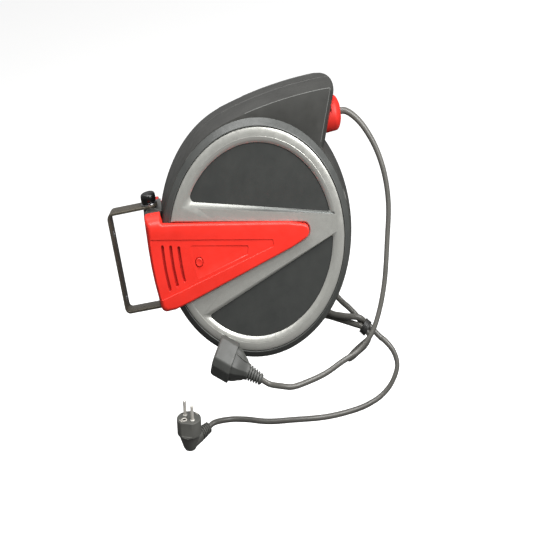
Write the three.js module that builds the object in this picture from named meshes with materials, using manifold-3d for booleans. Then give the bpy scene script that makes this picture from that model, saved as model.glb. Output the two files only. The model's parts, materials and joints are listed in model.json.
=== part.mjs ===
// Wall-mounted, spring-driven extension cord reel with a swivel bracket.
// Row frame: millimetres, +Z up, front face towards -Y, origin on the wall face of the bracket.
// The reel hangs swivelled a little on its bracket, so the wall plate is turned about Z against the row axes.
// Housing parts are drawn in a local frame: X right, Y up, Z towards the front, origin on the drum axis.
import * as THREE from 'three';
import { mergeVertices } from 'three/addons/utils/BufferGeometryUtils.js';
import Module from 'manifold-3d';

const wasm = await Module();
wasm.setup();

// ---------- driving dimensions ----------
const GAP = 0.3;                 // clearance between neighbouring pieces
const PIVOT = [63, -13];         // swivel axis in the row frame, X and Y
const ARM_REACH = Math.hypot(PIVOT[0], PIVOT[1]);
const PIVOT_REACH = 147.5;        // swivel axis to drum axis
const DRUM_X = 212;              // drum axis in the reel frame, which lies 1.5 mm left of the row frame
const CASE_R = 139.5;            // casing radius at its front and rear edges
const CASE_HALF = 41.5;          // half of the casing thickness between those edges
const CROWN = 3.5;               // how far the casing bulges out at the parting plane
const WALL = 3.5;                // casing wall
const BOSS_R = 138.4;            // foot of the round raised drum boss
const BOSS_TOP_R = 131;          // rim of that boss
const BOSS_F = 49;               // its height above the parting plane
const PANEL_F = 46;              // recessed panel face inside the boss
const NOSE_ARC_R = 638;          // long flat arc on top of the outlet nose
const NOSE_ARC_X = 85;           // highest point of that arc
const NOSE_TOP = 147.2;
const MOUTH_TOP = [135, 145.2];  // upper corner of the outlet end wall
const MOUTH_TILT = THREE.MathUtils.degToRad(23);
const MOUTH_LENGTH = 64;         // along that wall, down to the round casing
const MOUTH_CROWN = 9.3;         // how far the end wall bulges out at the parting plane
const TRIM_R = 130;              // silver trim frame
const TRIM_F = 49.5;             // front face of the trim
const WINDOW_R = 112.5;          // arc of the D-shaped windows
const WINDOW_EDGE = 42.5;        // half distance between the windows at the drum axis
const WINDOW_SLOPE = Math.tan(THREE.MathUtils.degToRad(14.8));
const TRIM_BEVEL = 5.5;          // inner bevel of the trim windows
const COVER_F = 56;              // front face of the red side cover
const COVER_BACK = 28.5;         // inner edge of that cover beside the casing
const WEDGE_EDGE = 24.6;         // half height of the cover's wedge at the drum axis
const WEDGE_SLOPE = Math.tan(THREE.MathUtils.degToRad(11.2));
const OUTLET_Z = 108;            // height of the cable outlet axis
const OUTLET_R = 19.3;            // outlet nozzle radius
const CABLE_R = 3.75;            // rubber cable radius
const AXLE_R = 8;
const FLANGE_R = 117;            // drum flanges
const CORE_R = 62;               // drum core
const COIL_R = 102;              // wound cable
const PIN_R = 3.5;               // swivel pin
const STRIP_T = 3;               // bracket steel thickness
const STRIP_W = 24;              // bracket steel width
const ARM_TOP = 64.2;            // upper face of the bracket's top arm
const ARM_BOTTOM = -57;          // lower face of its bottom arm
const BLOCK_TOP = 59.5;
const BLOCK_BOTTOM = -52.5;
const ROUND = 24;                // segments of an inner turned piece

// ---------- materials ----------
function material(color, roughness, metalness = 0) {
  return new THREE.MeshStandardMaterial({ color, roughness, metalness });
}
const CASE_GREY = 0x5a5a58;
const COVER_RED = 0xf5352c;
const TRIM_SILVER = 0xb8b8b0;
const CORD_GREY = 0x76736c;
const PLUG_GREY = 0x5a5a55;
const STEEL = 0xb9bbbd;
const BLACK_STEEL = 0x2b2824;
const BRASS = 0xb08d4a;
const INNER_PLASTIC = 0x34373a;

// ---------- solid helpers ----------
function toSolid(geometry) {
  const plain = geometry.clone();
  plain.deleteAttribute('normal');
  plain.deleteAttribute('uv');
  const merged = mergeVertices(plain, 1e-4);
  return new wasm.Manifold(new wasm.Mesh({
    numProp: 3,
    vertProperties: new Float32Array(merged.attributes.position.array),
    triVerts: new Uint32Array(merged.index.array),
  }));
}

function toGeometry(solid) {
  const mesh = solid.getMesh();
  const geometry = new THREE.BufferGeometry();
  geometry.setAttribute('position', new THREE.BufferAttribute(new Float32Array(mesh.vertProperties), 3));
  geometry.setIndex(new THREE.BufferAttribute(new Uint32Array(mesh.triVerts), 1));
  return geometry;
}

function named(name, shape, mat) {
  const geometry = shape.isBufferGeometry ? shape : toGeometry(shape);
  const mesh = new THREE.Mesh(geometry, mat);
  mesh.name = name;
  return mesh;
}

// A plate drawn in X-Y, from z0 to z1.
function plate(shape, z0, z1, curveSegments = 16) {
  const geometry = new THREE.ExtrudeGeometry(shape, { depth: z1 - z0, bevelEnabled: false, curveSegments });
  return toSolid(geometry.translate(0, 0, z0));
}

// A plate whose outline grows by `size` from its small face at z1 - thickness down to z0.
function bevelled(shape, z0, z1, size, thickness, steps = 1, curveSegments = 16) {
  const options = {
    depth: z1 - z0 - thickness, bevelEnabled: true, bevelThickness: thickness, bevelSize: size,
    bevelOffset: -size, bevelSegments: steps, curveSegments,
  };
  const both = toSolid(new THREE.ExtrudeGeometry(shape, options).translate(0, 0, z0));
  const above = box(-900, 900, -900, 900, z0, z1 + 1);
  return both.intersect(above);
}

function box(x0, x1, y0, y1, z0, z1) {
  const geometry = new THREE.BoxGeometry(x1 - x0, y1 - y0, z1 - z0);
  return toSolid(geometry.translate((x0 + x1) / 2, (y0 + y1) / 2, (z0 + z1) / 2));
}

// A solid of revolution about local Z from [radius, z] points.
function turned(profile, segments = ROUND) {
  const points = profile.map(([r, z]) => new THREE.Vector2(r, z));
  points.push(points[0].clone());
  return toSolid(new THREE.LatheGeometry(points, segments).rotateX(Math.PI / 2));
}

const cylinder = (r, z0, z1, segments = ROUND) => turned([[0, z0], [r, z0], [r, z1], [0, z1]], segments);
const tube = (r0, r1, z0, z1, segments = ROUND) => turned([[r0, z0], [r1, z0], [r1, z1], [r0, z1]], segments);

function moved(solid, x, y, z) {
  return solid.translate([x, y, z]);
}

function polygon(points) {
  return new THREE.Shape(points.map(([x, y]) => new THREE.Vector2(x, y)));
}

// A round bar along a smooth curve.
function cord(points, radius, steps, sides = 8) {
  const curve = new THREE.CatmullRomCurve3(points.map((p) => new THREE.Vector3(...p)), false, 'centripetal');
  const section = new THREE.Shape();
  section.absarc(0, 0, radius, 0, Math.PI * 2, false);
  const options = { steps, extrudePath: curve, curveSegments: sides / 2, bevelEnabled: false };
  return toSolid(new THREE.ExtrudeGeometry(section, options));
}

// ---------- casing ----------
const mouthDown = [-Math.sin(MOUTH_TILT), -Math.cos(MOUTH_TILT)];
const mouthOut = [Math.cos(MOUTH_TILT), -Math.sin(MOUTH_TILT)];
const mouthPoint = (along, out) => [
  MOUTH_TOP[0] + mouthDown[0] * along + mouthOut[0] * out,
  MOUTH_TOP[1] + mouthDown[1] * along + mouthOut[1] * out,
];
const noseCentreY = NOSE_TOP - NOSE_ARC_R;
const noseJoin = Math.atan2(-noseCentreY, -NOSE_ARC_X);
const noseArcPoint = (radius, angle) => [
  NOSE_ARC_X + radius * Math.cos(angle), noseCentreY + radius * Math.sin(angle),
];

// Outer outline: round casing, tilted mouth, long flat arc back to the circle.
function casingOutline() {
  const shape = new THREE.Shape();
  const foot = mouthPoint(MOUTH_LENGTH, 0);
  const footAngle = Math.atan2(foot[1], foot[0]);
  shape.absarc(0, 0, CASE_R, noseJoin, footAngle + Math.PI * 2, false);
  shape.lineTo(...mouthPoint(4, 0));
  for (const angle of [85.9, 88, 90, 92, 94, 96, 98]) {
    shape.lineTo(...noseArcPoint(NOSE_ARC_R, THREE.MathUtils.degToRad(angle)));
  }
  return shape;
}

// Bulge of the end wall: a bar along it, inset from it, that swells by `size` at the parting plane.
function mouthBulge(inset, half, size) {
  const bar = polygon([
    mouthPoint(14, -16 - inset), mouthPoint(60, -16 - inset), mouthPoint(60, -inset), mouthPoint(14, -inset),
  ]);
  return toSolid(new THREE.ExtrudeGeometry(bar, {
    depth: 0.02, bevelEnabled: true, bevelThickness: half, bevelSize: size, bevelSegments: 3,
  }).translate(0, 0, -0.01));
}

// Hollow of the nose, up to its end wall.
function noseHollow() {
  const shape = new THREE.Shape();
  shape.moveTo(...mouthPoint(59, -WALL));
  for (const angle of [86.4, 88, 90, 93, 96, 98.5]) {
    shape.lineTo(...noseArcPoint(NOSE_ARC_R - WALL, THREE.MathUtils.degToRad(angle)));
  }
  shape.lineTo(0, 90);
  shape.lineTo(...mouthPoint(60, -22));
  return shape;
}

const POST_ANGLES = [40, 128, 188, 246, 302, 352];
const POST_RADIUS = 124.5;
const NOSE_POST = [62, 131];
const postPlaces = [...POST_ANGLES.map((deg) => {
  const a = THREE.MathUtils.degToRad(deg);
  return [POST_RADIUS * Math.cos(a), POST_RADIUS * Math.sin(a)];
}), NOSE_POST];

function casingHalf() {
  const crowned = new THREE.ExtrudeGeometry(casingOutline(), {
    depth: 0.02, bevelEnabled: true, bevelThickness: CASE_HALF, bevelSize: CROWN, bevelSegments: 2,
    curveSegments: 20,
  });
  const front = box(-400, 400, -400, 400, GAP / 2, 60);
  let half = toSolid(crowned.translate(0, 0, -0.01));
  half = half.add(mouthBulge(0, CASE_HALF, MOUTH_CROWN)).intersect(front);
  const boss = [[0, 30], [BOSS_R, 30], [BOSS_R, CASE_HALF], [BOSS_TOP_R, BOSS_F], [0, BOSS_F]];
  half = half.add(turned(boss, 48));
  half = half.subtract(cylinder(TRIM_R + GAP, PANEL_F, 60, 48));
  half = half.subtract(cylinder(CASE_R - WALL, -1, CASE_HALF - WALL, 36));
  half = half.subtract(cylinder(126, 30, PANEL_F - 3, ROUND));
  half = half.subtract(plate(noseHollow(), -1, CASE_HALF - WALL));
  half = half.subtract(mouthBulge(WALL, CASE_HALF - WALL, MOUTH_CROWN - 0.5));
  half = half.subtract(moved(cylinder(OUTLET_R + GAP, 100, 170, 32).rotate([0, 90, 0]), 0, OUTLET_Z, 0));
  const floor = PANEL_F - 3.5;
  half = half.add(tube(AXLE_R + GAP, 16, 34, floor + 0.5));
  for (const [x, y] of postPlaces) {
    half = half.add(moved(tube(2.2, 5, GAP / 2, CASE_HALF - WALL + 1, 8), x, y, 0));
  }
  return half;
}

function casingFront() {
  const buttonHole = moved(cylinder(2.6, 40, 50, 16), ...BUTTON_PLACE, 0);
  return casingHalf().subtract(buttonHole);
}

function casingRear() {
  let half = casingHalf();
  for (const [x, y] of postPlaces) {
    half = half.subtract(moved(cylinder(4.2, PANEL_F - 7, 60, 8), x, y, 0));
    half = half.subtract(moved(cylinder(2.2, 0, 60, 8), x, y, 0));
  }
  const cordHole = moved(cylinder(6.3, 40, 50, 20), GLAND_PLACE[0], GLAND_PLACE[1], 0);
  return half.subtract(cordHole).mirror([0, 0, 1]);
}

// Countersunk-in-post casing screw, head towards the rear.
const casingScrew = () => turned([
  [0, -PANEL_F + 3.6], [3.6, -PANEL_F + 3.6], [3.6, -PANEL_F + 6.6], [1.8, -PANEL_F + 6.6],
  [1.8, 26], [0, 28],
], 8);

// ---------- trim frame ----------
// D-shaped window; side is +1 for the upper one and -1 for the lower one.
function windowShape(side) {
  const shape = new THREE.Shape();
  const left = THREE.MathUtils.degToRad(side > 0 ? 146 : 214);
  const right = THREE.MathUtils.degToRad(7 * side);
  const corner = (angle) => [WINDOW_R * Math.cos(angle), WINDOW_R * Math.sin(angle)];
  const edge = (x) => [x, side * (WINDOW_EDGE - x * WINDOW_SLOPE)];
  if (side > 0) {
    shape.absarc(0, 0, WINDOW_R, right, left, false);
    shape.lineTo(...edge(corner(left)[0] + 9));
  } else {
    shape.absarc(0, 0, WINDOW_R, left, right + Math.PI * 2, false);
    shape.lineTo(...edge(corner(left)[0] + 9));
  }
  return shape;
}

function trimFrame() {
  const depth = TRIM_F - PANEL_F - GAP;
  let frame = turned([
    [0, PANEL_F + GAP], [TRIM_R, PANEL_F + GAP], [TRIM_R, TRIM_F - 1], [TRIM_R - 1, TRIM_F], [0, TRIM_F],
  ], 48);
  for (const side of [1, -1]) {
    const options = {
      depth: 4, bevelEnabled: true, bevelThickness: depth, bevelSize: TRIM_BEVEL, bevelSegments: 1,
      curveSegments: 20,
    };
    const cutter = toSolid(new THREE.ExtrudeGeometry(windowShape(side), options).translate(0, 0, TRIM_F));
    frame = frame.subtract(cutter);
    frame = frame.subtract(plate(windowShape(side), PANEL_F, TRIM_F + 1, 20));
  }
  return frame.subtract(moved(cylinder(2.6, 40, 60, 16), ...BUTTON_PLACE, 0));
}

// ---------- red side cover ----------
const wedgeY = (x, side) => side * (WEDGE_EDGE - x * WEDGE_SLOPE);
const TIP = [69.5, 8.5];         // centre and radius of the wedge's round tip
const EAR_TOP = 59.2;

function coverOutline() {
  const shape = new THREE.Shape();
  const slopeAngle = Math.atan(WEDGE_SLOPE);
  shape.moveTo(-132.5, wedgeY(-132.5, 1));
  shape.lineTo(-133.5, EAR_TOP);
  shape.lineTo(-152, EAR_TOP + 1.5);
  shape.quadraticCurveTo(-156.5, EAR_TOP + 1.5, -157, EAR_TOP - 3);
  shape.quadraticCurveTo(-162, 4, -156, -40);
  shape.quadraticCurveTo(-154.5, -51.3, -144, -51.3);
  shape.lineTo(-135, wedgeY(-135, -1));
  shape.absarc(TIP[0], 0, TIP[1], slopeAngle - Math.PI / 2, Math.PI / 2 - slopeAngle, false);
  return shape;
}

// Three curved vent slots, parallel to the cover's outer edge.
function ventSlots() {
  const slots = [];
  const places = [[-139.5, 25.5], [-127.5, 23], [-115.5, 19.5]];
  for (const [x, half] of places) {
    const shape = new THREE.Shape();
    const bow = 230;
    const swing = Math.asin(half / bow);
    const width = 2;
    shape.absarc(bow, 0, bow + width, Math.PI - swing, Math.PI + swing, false);
    shape.absarc(bow, 0, bow - width, Math.PI + swing, Math.PI - swing, true);
    slots.push(moved(plate(shape, COVER_F - 3, COVER_F + 1, 3), x, 0, 0));
  }
  return slots;
}

const BUTTON_PLACE = [-88.5, -3];

function sideCover(withButton) {
  const base = TRIM_F + GAP;
  let cover = bevelled(coverOutline(), base, COVER_F, 3, 3, 2, 8);
  let skirt = plate(coverOutline(), COVER_BACK, base + 1, 8);
  skirt = skirt.subtract(cylinder(CASE_R + CROWN + 1.4, 0, 80, 48));
  skirt = skirt.intersect(box(-170, -100, -60, 70, 0, 80));
  cover = cover.add(skirt);
  cover = cover.subtract(box(-154, -148.5, -36, 48, 0, COVER_F - 3));
  for (const slot of ventSlots()) {
    cover = cover.subtract(slot);
  }
  if (withButton) {
    cover = cover.subtract(moved(cylinder(5.4, 40, 60, 24), ...BUTTON_PLACE, 0));
  }
  return cover;
}

const resetButton = () => moved(turned([
  [0, 43.5], [2, 43.5], [2, 52.8], [5, 52.8], [5, 56.3], [4, 57.3], [0, 57.6],
], 24), ...BUTTON_PLACE, 0);

const thermalSwitch = () => moved(box(-11, 11, -7, 7, 33.5, 40), ...BUTTON_PLACE, 0);

// ---------- outlet nozzle and guide rollers ----------
function outletNozzle() {
  const profile = [
    [5, 112], [OUTLET_R - 1, 112], [OUTLET_R, 114], [OUTLET_R, 137], [OUTLET_R - 2, 141.8],
    [OUTLET_R - 6, 144.2],
    [9, 145.8], [6.4, 146.3], [5, 144.4],
  ];
  const spout = moved(turned(profile, 32).rotate([0, 90, 0]), 0, OUTLET_Z, 0);
  const flangeMid = mouthPoint(33, -8);
  const tilt = -THREE.MathUtils.radToDeg(MOUTH_TILT);
  const flange = toSolid(new THREE.BoxGeometry(3, 44, 62)).rotate([0, 0, tilt]);
  const bore = moved(cylinder(5, 90, 160, 32).rotate([0, 90, 0]), 0, OUTLET_Z, 0);
  return spout.add(moved(flange, ...flangeMid, 0)).subtract(bore);
}

const ROLLER_X = 92;
const ROLLER_R = 6;
const ROLLER_OFFSET = CABLE_R + ROLLER_R + 0.6;
const guideRoller = (side) => moved(turned([
  [2.3, -14], [ROLLER_R, -14], [ROLLER_R, 14], [2.3, 14],
], 24), ROLLER_X, OUTLET_Z + side * ROLLER_OFFSET, 0);
const rollerPin = (side) => moved(
  cylinder(1.8, -37.5, 37.5, 16), ROLLER_X, OUTLET_Z + side * ROLLER_OFFSET, 0,
);

// ---------- pivot block ----------
function pivotBlock() {
  const half = COVER_BACK - GAP;
  const shape = new THREE.Shape();
  shape.moveTo(-118, BLOCK_BOTTOM);
  shape.lineTo(-118, BLOCK_TOP);
  shape.lineTo(-155, BLOCK_TOP);
  shape.quadraticCurveTo(-158, BLOCK_TOP, -158, BLOCK_TOP - 3);
  shape.lineTo(-158, BLOCK_BOTTOM + 3);
  shape.quadraticCurveTo(-158, BLOCK_BOTTOM, -155, BLOCK_BOTTOM);
  let block = plate(shape, -half, half, 4);
  block = block.subtract(cylinder(CASE_R + CROWN + GAP, -80, 80, 48));
  const bore = moved(cylinder(PIN_R + 0.4, -90, 90, 24).rotate([90, 0, 0]), -PIVOT_REACH, 0, 0);
  const seats = [[BLOCK_TOP - 4, BLOCK_TOP + 1], [BLOCK_BOTTOM - 1, BLOCK_BOTTOM + 4]];
  block = block.subtract(bore);
  for (const [low, high] of seats) {
    block = block.subtract(moved(cylinder(6.8, low, high, 24).rotate([-90, 0, 0]), -PIVOT_REACH, 0, 0));
  }
  return block;
}

// Flanged bush between the block and a bracket arm; side is +1 for the upper one.
function pivotBush(side) {
  const face = side > 0 ? BLOCK_TOP : -BLOCK_BOTTOM;
  const arm = side > 0 ? ARM_TOP - STRIP_T : -ARM_BOTTOM - STRIP_T;
  const bush = turned([
    [PIN_R + 0.5, face - 3.7], [6.4, face - 3.7], [6.4, face + 0.2], [9, face + 0.2], [9, arm - 0.2],
    [PIN_R + 0.5, arm - 0.2],
  ], 24).rotate([-90, 0, 0]);
  const placed = side > 0 ? bush : bush.mirror([0, 1, 0]);
  return moved(placed, -PIVOT_REACH, 0, 0);
}

// ---------- drum ----------
const DRUM_FRONT = 24;
const DRUM_REAR = -26;
const drumCore = () => turned([
  [10.6, -10], [16, -10], [16, -2], [CORE_R - 3, -2], [CORE_R - 3, DRUM_REAR], [CORE_R, DRUM_REAR],
  [CORE_R, DRUM_FRONT], [CORE_R - 3, DRUM_FRONT], [CORE_R - 3, 1], [16, 1], [16, 2.5], [10.6, 2.5],
]);

// Flange disc with a rounded rim, lying on the front end of the drum core.
const drumFlange = (f) => turned([
  [CORE_R - 10, f + GAP], [FLANGE_R, f + GAP], [FLANGE_R + 1.5, f + 1.3], [FLANGE_R, f + 2.4],
  [CORE_R - 10, f + 2.4],
]);

const cableCoil = () => {
  const rows = 5;
  const width = DRUM_FRONT - DRUM_REAR - 1;
  const pitch = width / rows;
  const profile = [[CORE_R + 0.5, DRUM_REAR + 0.5]];
  for (let i = 0; i < rows; i += 1) {
    const low = DRUM_REAR + 0.5 + pitch * i;
    profile.push([COIL_R - 3, low + 0.3], [COIL_R, low + pitch / 2]);
  }
  profile.push([COIL_R - 3, DRUM_FRONT - 0.8], [CORE_R + 0.5, DRUM_FRONT - 0.5]);
  return turned(profile);
};

// Flat spiral power spring between the fixed arbor and the drum core.
function spiralSpring() {
  const turns = 5;
  const steps = turns * 14;
  const innerR = 14.5;
  const outerR = CORE_R - 5.5;
  const thickness = 0.9;
  const points = [];
  const at = (i, extra) => {
    const a = (i / steps) * turns * Math.PI * 2;
    const r = innerR + (outerR - innerR) * (i / steps) + extra;
    return new THREE.Vector2(r * Math.cos(a), r * Math.sin(a));
  };
  for (let i = 0; i <= steps; i += 1) {
    points.push(at(i, thickness));
  }
  for (let i = steps; i >= 0; i -= 1) {
    points.push(at(i, 0));
  }
  return plate(new THREE.Shape(points), 4, 20);
}

const springLid = () => tube(19, CORE_R - 3.5, 21.2, 23);

const TEETH = 12;
function ratchetWheel() {
  const points = [];
  for (let i = 0; i < TEETH; i += 1) {
    const a = (i / TEETH) * Math.PI * 2;
    const next = ((i + 0.92) / TEETH) * Math.PI * 2;
    points.push([46 * Math.cos(a), 46 * Math.sin(a)], [40 * Math.cos(next), 40 * Math.sin(next)]);
  }
  const wheel = plate(polygon(points), DRUM_FRONT + 3, DRUM_FRONT + 8);
  return wheel.add(tube(30, 58, DRUM_FRONT + 2.8, DRUM_FRONT + 3.8)).subtract(cylinder(28, 20, 40));
}

const PAWL_PIVOT = [0, -66];
const pawlArm = () => {
  const arm = polygon([[-5, -70], [5, -70], [5, -62], [19, -49.5], [16, -46.8], [12, -48], [-5, -60]]);
  const bore = moved(cylinder(2.6, 20, 40, 16), ...PAWL_PIVOT, 0);
  return plate(arm, DRUM_FRONT + 4.2, DRUM_FRONT + 8).subtract(bore);
};
const pawlPin = () => moved(turned([
  [0, DRUM_FRONT + 3], [2.2, DRUM_FRONT + 3], [2.2, 38], [4, 38], [4, PANEL_F - 3.4], [0, PANEL_F - 3.4],
], 16), ...PAWL_PIVOT, 0);

function pawlSpring() {
  const points = [];
  const turns = 2.5;
  for (let i = 0; i <= turns * 8; i += 1) {
    const a = (i / 8) * Math.PI * 2;
    points.push([PAWL_PIVOT[0] + 5.4 * Math.cos(a), PAWL_PIVOT[1] + 5.4 * Math.sin(a), 33.2 + i * 0.22]);
  }
  return cord(points, 0.5, 24, 4);
}

// ---------- slip rings, brushes and axle ----------
const RING_PLACES = [-22, -16.5, -11];
const RING_NAMES = ['live', 'neutral', 'earth'];
const slipCarrier = () => tube(16.6, 26, -24, -2.4);
const slipRing = (f) => tube(26.4, 29, f, f + 3.5);
const brushHolder = () => {
  const post = box(-8, 8, 34.2, 44, -CASE_HALF - 1, -7);
  return post.add(box(-14, 14, 34.2, 52, -CASE_HALF - 1, -CASE_HALF + 2));
};
const brush = (f) => box(-4, 4, 29.5, 33.9, f + 0.4, f + 3.1);
const mainAxle = () => turned([
  [0, -42], [AXLE_R, -42], [AXLE_R, 2.9], [12, 2.9], [12, 20.5], [AXLE_R, 20.5], [AXLE_R, 42], [0, 42],
], 16);
const axleBush = (f0, f1) => tube(AXLE_R + 0.35, 10.3, f0, f1, 16);

// ---------- supply cord and its gland ----------
const GLAND_PLACE = [70, -62];
const cordGland = () => moved(turned([
  [CABLE_R + 0.4, -63], [6, -63], [7.4, -51], [9.5, -50], [9.5, -PANEL_F - GAP],
  [6, -PANEL_F - GAP], [6, -43],
  [CABLE_R + 0.4, -43],
], 20), ...GLAND_PLACE, 0);

// ---------- bracket, cables, coupler, plug ----------
function wallBracket() {
  const reach = ARM_REACH;
  const shape = new THREE.Shape();
  const bend = 6;
  const t = STRIP_T;
  shape.moveTo(reach + 12, ARM_TOP);
  shape.lineTo(bend, ARM_TOP);
  shape.quadraticCurveTo(0, ARM_TOP, 0, ARM_TOP - bend);
  shape.lineTo(0, ARM_BOTTOM + bend);
  shape.quadraticCurveTo(0, ARM_BOTTOM, bend, ARM_BOTTOM);
  shape.lineTo(reach + 12, ARM_BOTTOM);
  shape.lineTo(reach + 12, ARM_BOTTOM + t);
  shape.lineTo(bend, ARM_BOTTOM + t);
  shape.quadraticCurveTo(t, ARM_BOTTOM + t, t, ARM_BOTTOM + bend);
  shape.lineTo(t, ARM_TOP - bend);
  shape.quadraticCurveTo(t, ARM_TOP - t, bend, ARM_TOP - t);
  shape.lineTo(reach + 12, ARM_TOP - t);
  let strip = plate(shape, -STRIP_W / 2, STRIP_W / 2, 4).rotate([90, 0, 0]);
  const plan = new THREE.Shape();
  plan.moveTo(-1, -STRIP_W / 2);
  plan.lineTo(reach, -STRIP_W / 2);
  plan.absarc(reach, 0, STRIP_W / 2, -Math.PI / 2, Math.PI / 2, false);
  plan.lineTo(-1, STRIP_W / 2);
  strip = strip.intersect(plate(plan, -90, 90, 16));
  strip = strip.subtract(moved(cylinder(PIN_R + 0.5, -90, 90, 24), reach, 0, 0));
  for (const z of [38, -40]) {
    strip = strip.subtract(moved(cylinder(3.5, -2, 6, 20).rotate([0, 90, 0]), 0, 0, z));
  }
  return strip;
}

const swivelPin = () => turned([
  [0, ARM_BOTTOM - 3], [PIN_R - 1, ARM_BOTTOM - 3], [PIN_R, ARM_BOTTOM - 2], [PIN_R, ARM_TOP + 8],
  [0, ARM_TOP + 8],
], 24);
const pinWasher = () => tube(PIN_R + 0.5, 12, ARM_TOP + 0.2, ARM_TOP + 1.4);
const pinKnob = () => turned([
  [PIN_R + 0.3, ARM_TOP + 1.7], [10.6, ARM_TOP + 1.7], [11, ARM_TOP + 3], [10.6, ARM_TOP + 9.4],
  [9, ARM_TOP + 11.6],
  [5, ARM_TOP + 12.3], [0, ARM_TOP + 12.5], [0, ARM_TOP + 8.3], [PIN_R + 0.3, ARM_TOP + 8.3],
], 24);

const OUTLET_LEAD = 20;          // drum-side start of the straight cable lead, from the drum axis
const COUPLER_CENTRE = [137, -77, -118];
const COUPLER_DROP = THREE.MathUtils.degToRad(33.5);
const COUPLER_LEAN = THREE.MathUtils.degToRad(12.9);   // its cable end stands further forward
const COUPLER_TURN = THREE.MathUtils.degToRad(37);     // roll about its own axis
const couplerBasis = (() => {
  const along = new THREE.Vector3(
    Math.cos(COUPLER_LEAN) * Math.cos(COUPLER_DROP), -Math.sin(COUPLER_LEAN),
    -Math.cos(COUPLER_LEAN) * Math.sin(COUPLER_DROP),
  );
  const front = new THREE.Vector3(0, -1, 0).addScaledVector(along, along.y).normalize();
  const below = new THREE.Vector3().crossVectors(along, front);
  const x = front.clone().multiplyScalar(Math.cos(COUPLER_TURN))
    .addScaledVector(below, -Math.sin(COUPLER_TURN));
  const y = new THREE.Vector3().crossVectors(along, x);
  return [x, y, along];
})();
const couplerPoint = (along) => new THREE.Vector3(...COUPLER_CENTRE)
  .addScaledVector(couplerBasis[2], along).toArray();

const outputCable = () => cord([
  [DRUM_X + OUTLET_LEAD, 0, OUTLET_Z], [DRUM_X + 80, 0, OUTLET_Z], [DRUM_X + 148, 0, OUTLET_Z],
  [368, -1, 105.5], [384, -2, 91], [401, -5, 62], [410, -10, 30], [411, -15, -4], [403, -21, -44],
  [390, -31, -94], [374, -38, -129], [361, -43, -145.7], [339.9, -48, -159.4], [312.9, -55, -165.7],
  [284.9, -62, -172.8], [257.9, -69, -175.1], [231.9, -77, -174.2], [214, -83, -167.5],
  couplerPoint(74), couplerPoint(66), couplerPoint(58),
], CABLE_R, 64);

// The folded supply cord is gathered by a tie; three strands twist side by side into it.
const TIE_CENTRE = new THREE.Vector3(357, 30, -157);
const TIE_AXIS = new THREE.Vector3(0.69, -0.2, -0.69).normalize();
const TIE_SIDE = new THREE.Vector3(0, 1, 0).cross(TIE_AXIS).normalize();
const TIE_FACE = new THREE.Vector3().crossVectors(TIE_AXIS, TIE_SIDE);
const STRAND_ANGLES = [60, 300, 180];
function strand(number, along) {
  const before = Math.max(0, -along - 6);
  const radius = 4.7 + 0.022 * before * before;
  const angle = THREE.MathUtils.degToRad(STRAND_ANGLES[number] + 5 * Math.min(before, 12));
  return TIE_CENTRE.clone()
    .addScaledVector(TIE_SIDE, radius * Math.cos(angle)).addScaledVector(TIE_FACE, radius * Math.sin(angle))
    .addScaledVector(TIE_AXIS, along).toArray();
}

const supplyCord = () => cord([
  [DRUM_X + GLAND_PLACE[0], 50, GLAND_PLACE[1]], [DRUM_X + GLAND_PLACE[0], 60, GLAND_PLACE[1]],
  [DRUM_X + GLAND_PLACE[0], 67, GLAND_PLACE[1]], [287, 77, -69], [300, 76, -87], [322.8, 60, -122],
  [336.5, 49, -134], strand(0, -14), strand(0, -6), strand(0, 0), strand(0, 6),
  [362.1, 33, -168.2], [359.8, 33.8, -173.3], [352, 35.5, -177.8], [341, 36.5, -183], [332, 35.5, -187.5],
  [327.3, 33, -189.8], [325.6, 29, -190.6], [327.3, 25, -189.8], [332, 22.5, -187.5], [341, 21.5, -183],
  [352, 21.7, -177.8], [358.7, 23, -172.2], [361, 24.2, -167.2],
  strand(1, 6), strand(1, 0), strand(1, -6), strand(1, -14), [323, 43.5, -145], [302.8, 54, -138.5],
  [284, 62, -134], [269, 67, -125], [261, 67, -113], [267, 62, -103], [280, 58.5, -105],
  [293, 52.5, -117], [306.2, 42.5, -131.5], [327, 35, -138],
  strand(2, -14), strand(2, -6), strand(2, 0), strand(2, 6), [377, 25, -172], [385, 22, -179],
  [395, 18, -193], [398, 14, -210], [387, 9, -228], [369, 5, -240], [344, -1, -246], [317, -6, -247],
  [277, -13, -244], [225, -18, -235.2], [186, -15, -230], [150, -9, -221.4], [127, -9.5, -216.5],
  plugArmPoint(PLUG_ARM + 6), plugArmPoint(PLUG_ARM - 3.7),
], CABLE_R, 190);

function cordTie() {
  const turn = new THREE.Quaternion().setFromUnitVectors(new THREE.Vector3(0, 0, 1), TIE_AXIS);
  const sleeve = new THREE.LatheGeometry([
    new THREE.Vector2(8.8, -5), new THREE.Vector2(10, -5), new THREE.Vector2(10, 5),
    new THREE.Vector2(8.8, 5), new THREE.Vector2(8.8, -5),
  ], 20).rotateX(Math.PI / 2);
  return toSolid(sleeve.applyQuaternion(turn).translate(...TIE_CENTRE.toArray()));
}

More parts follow.
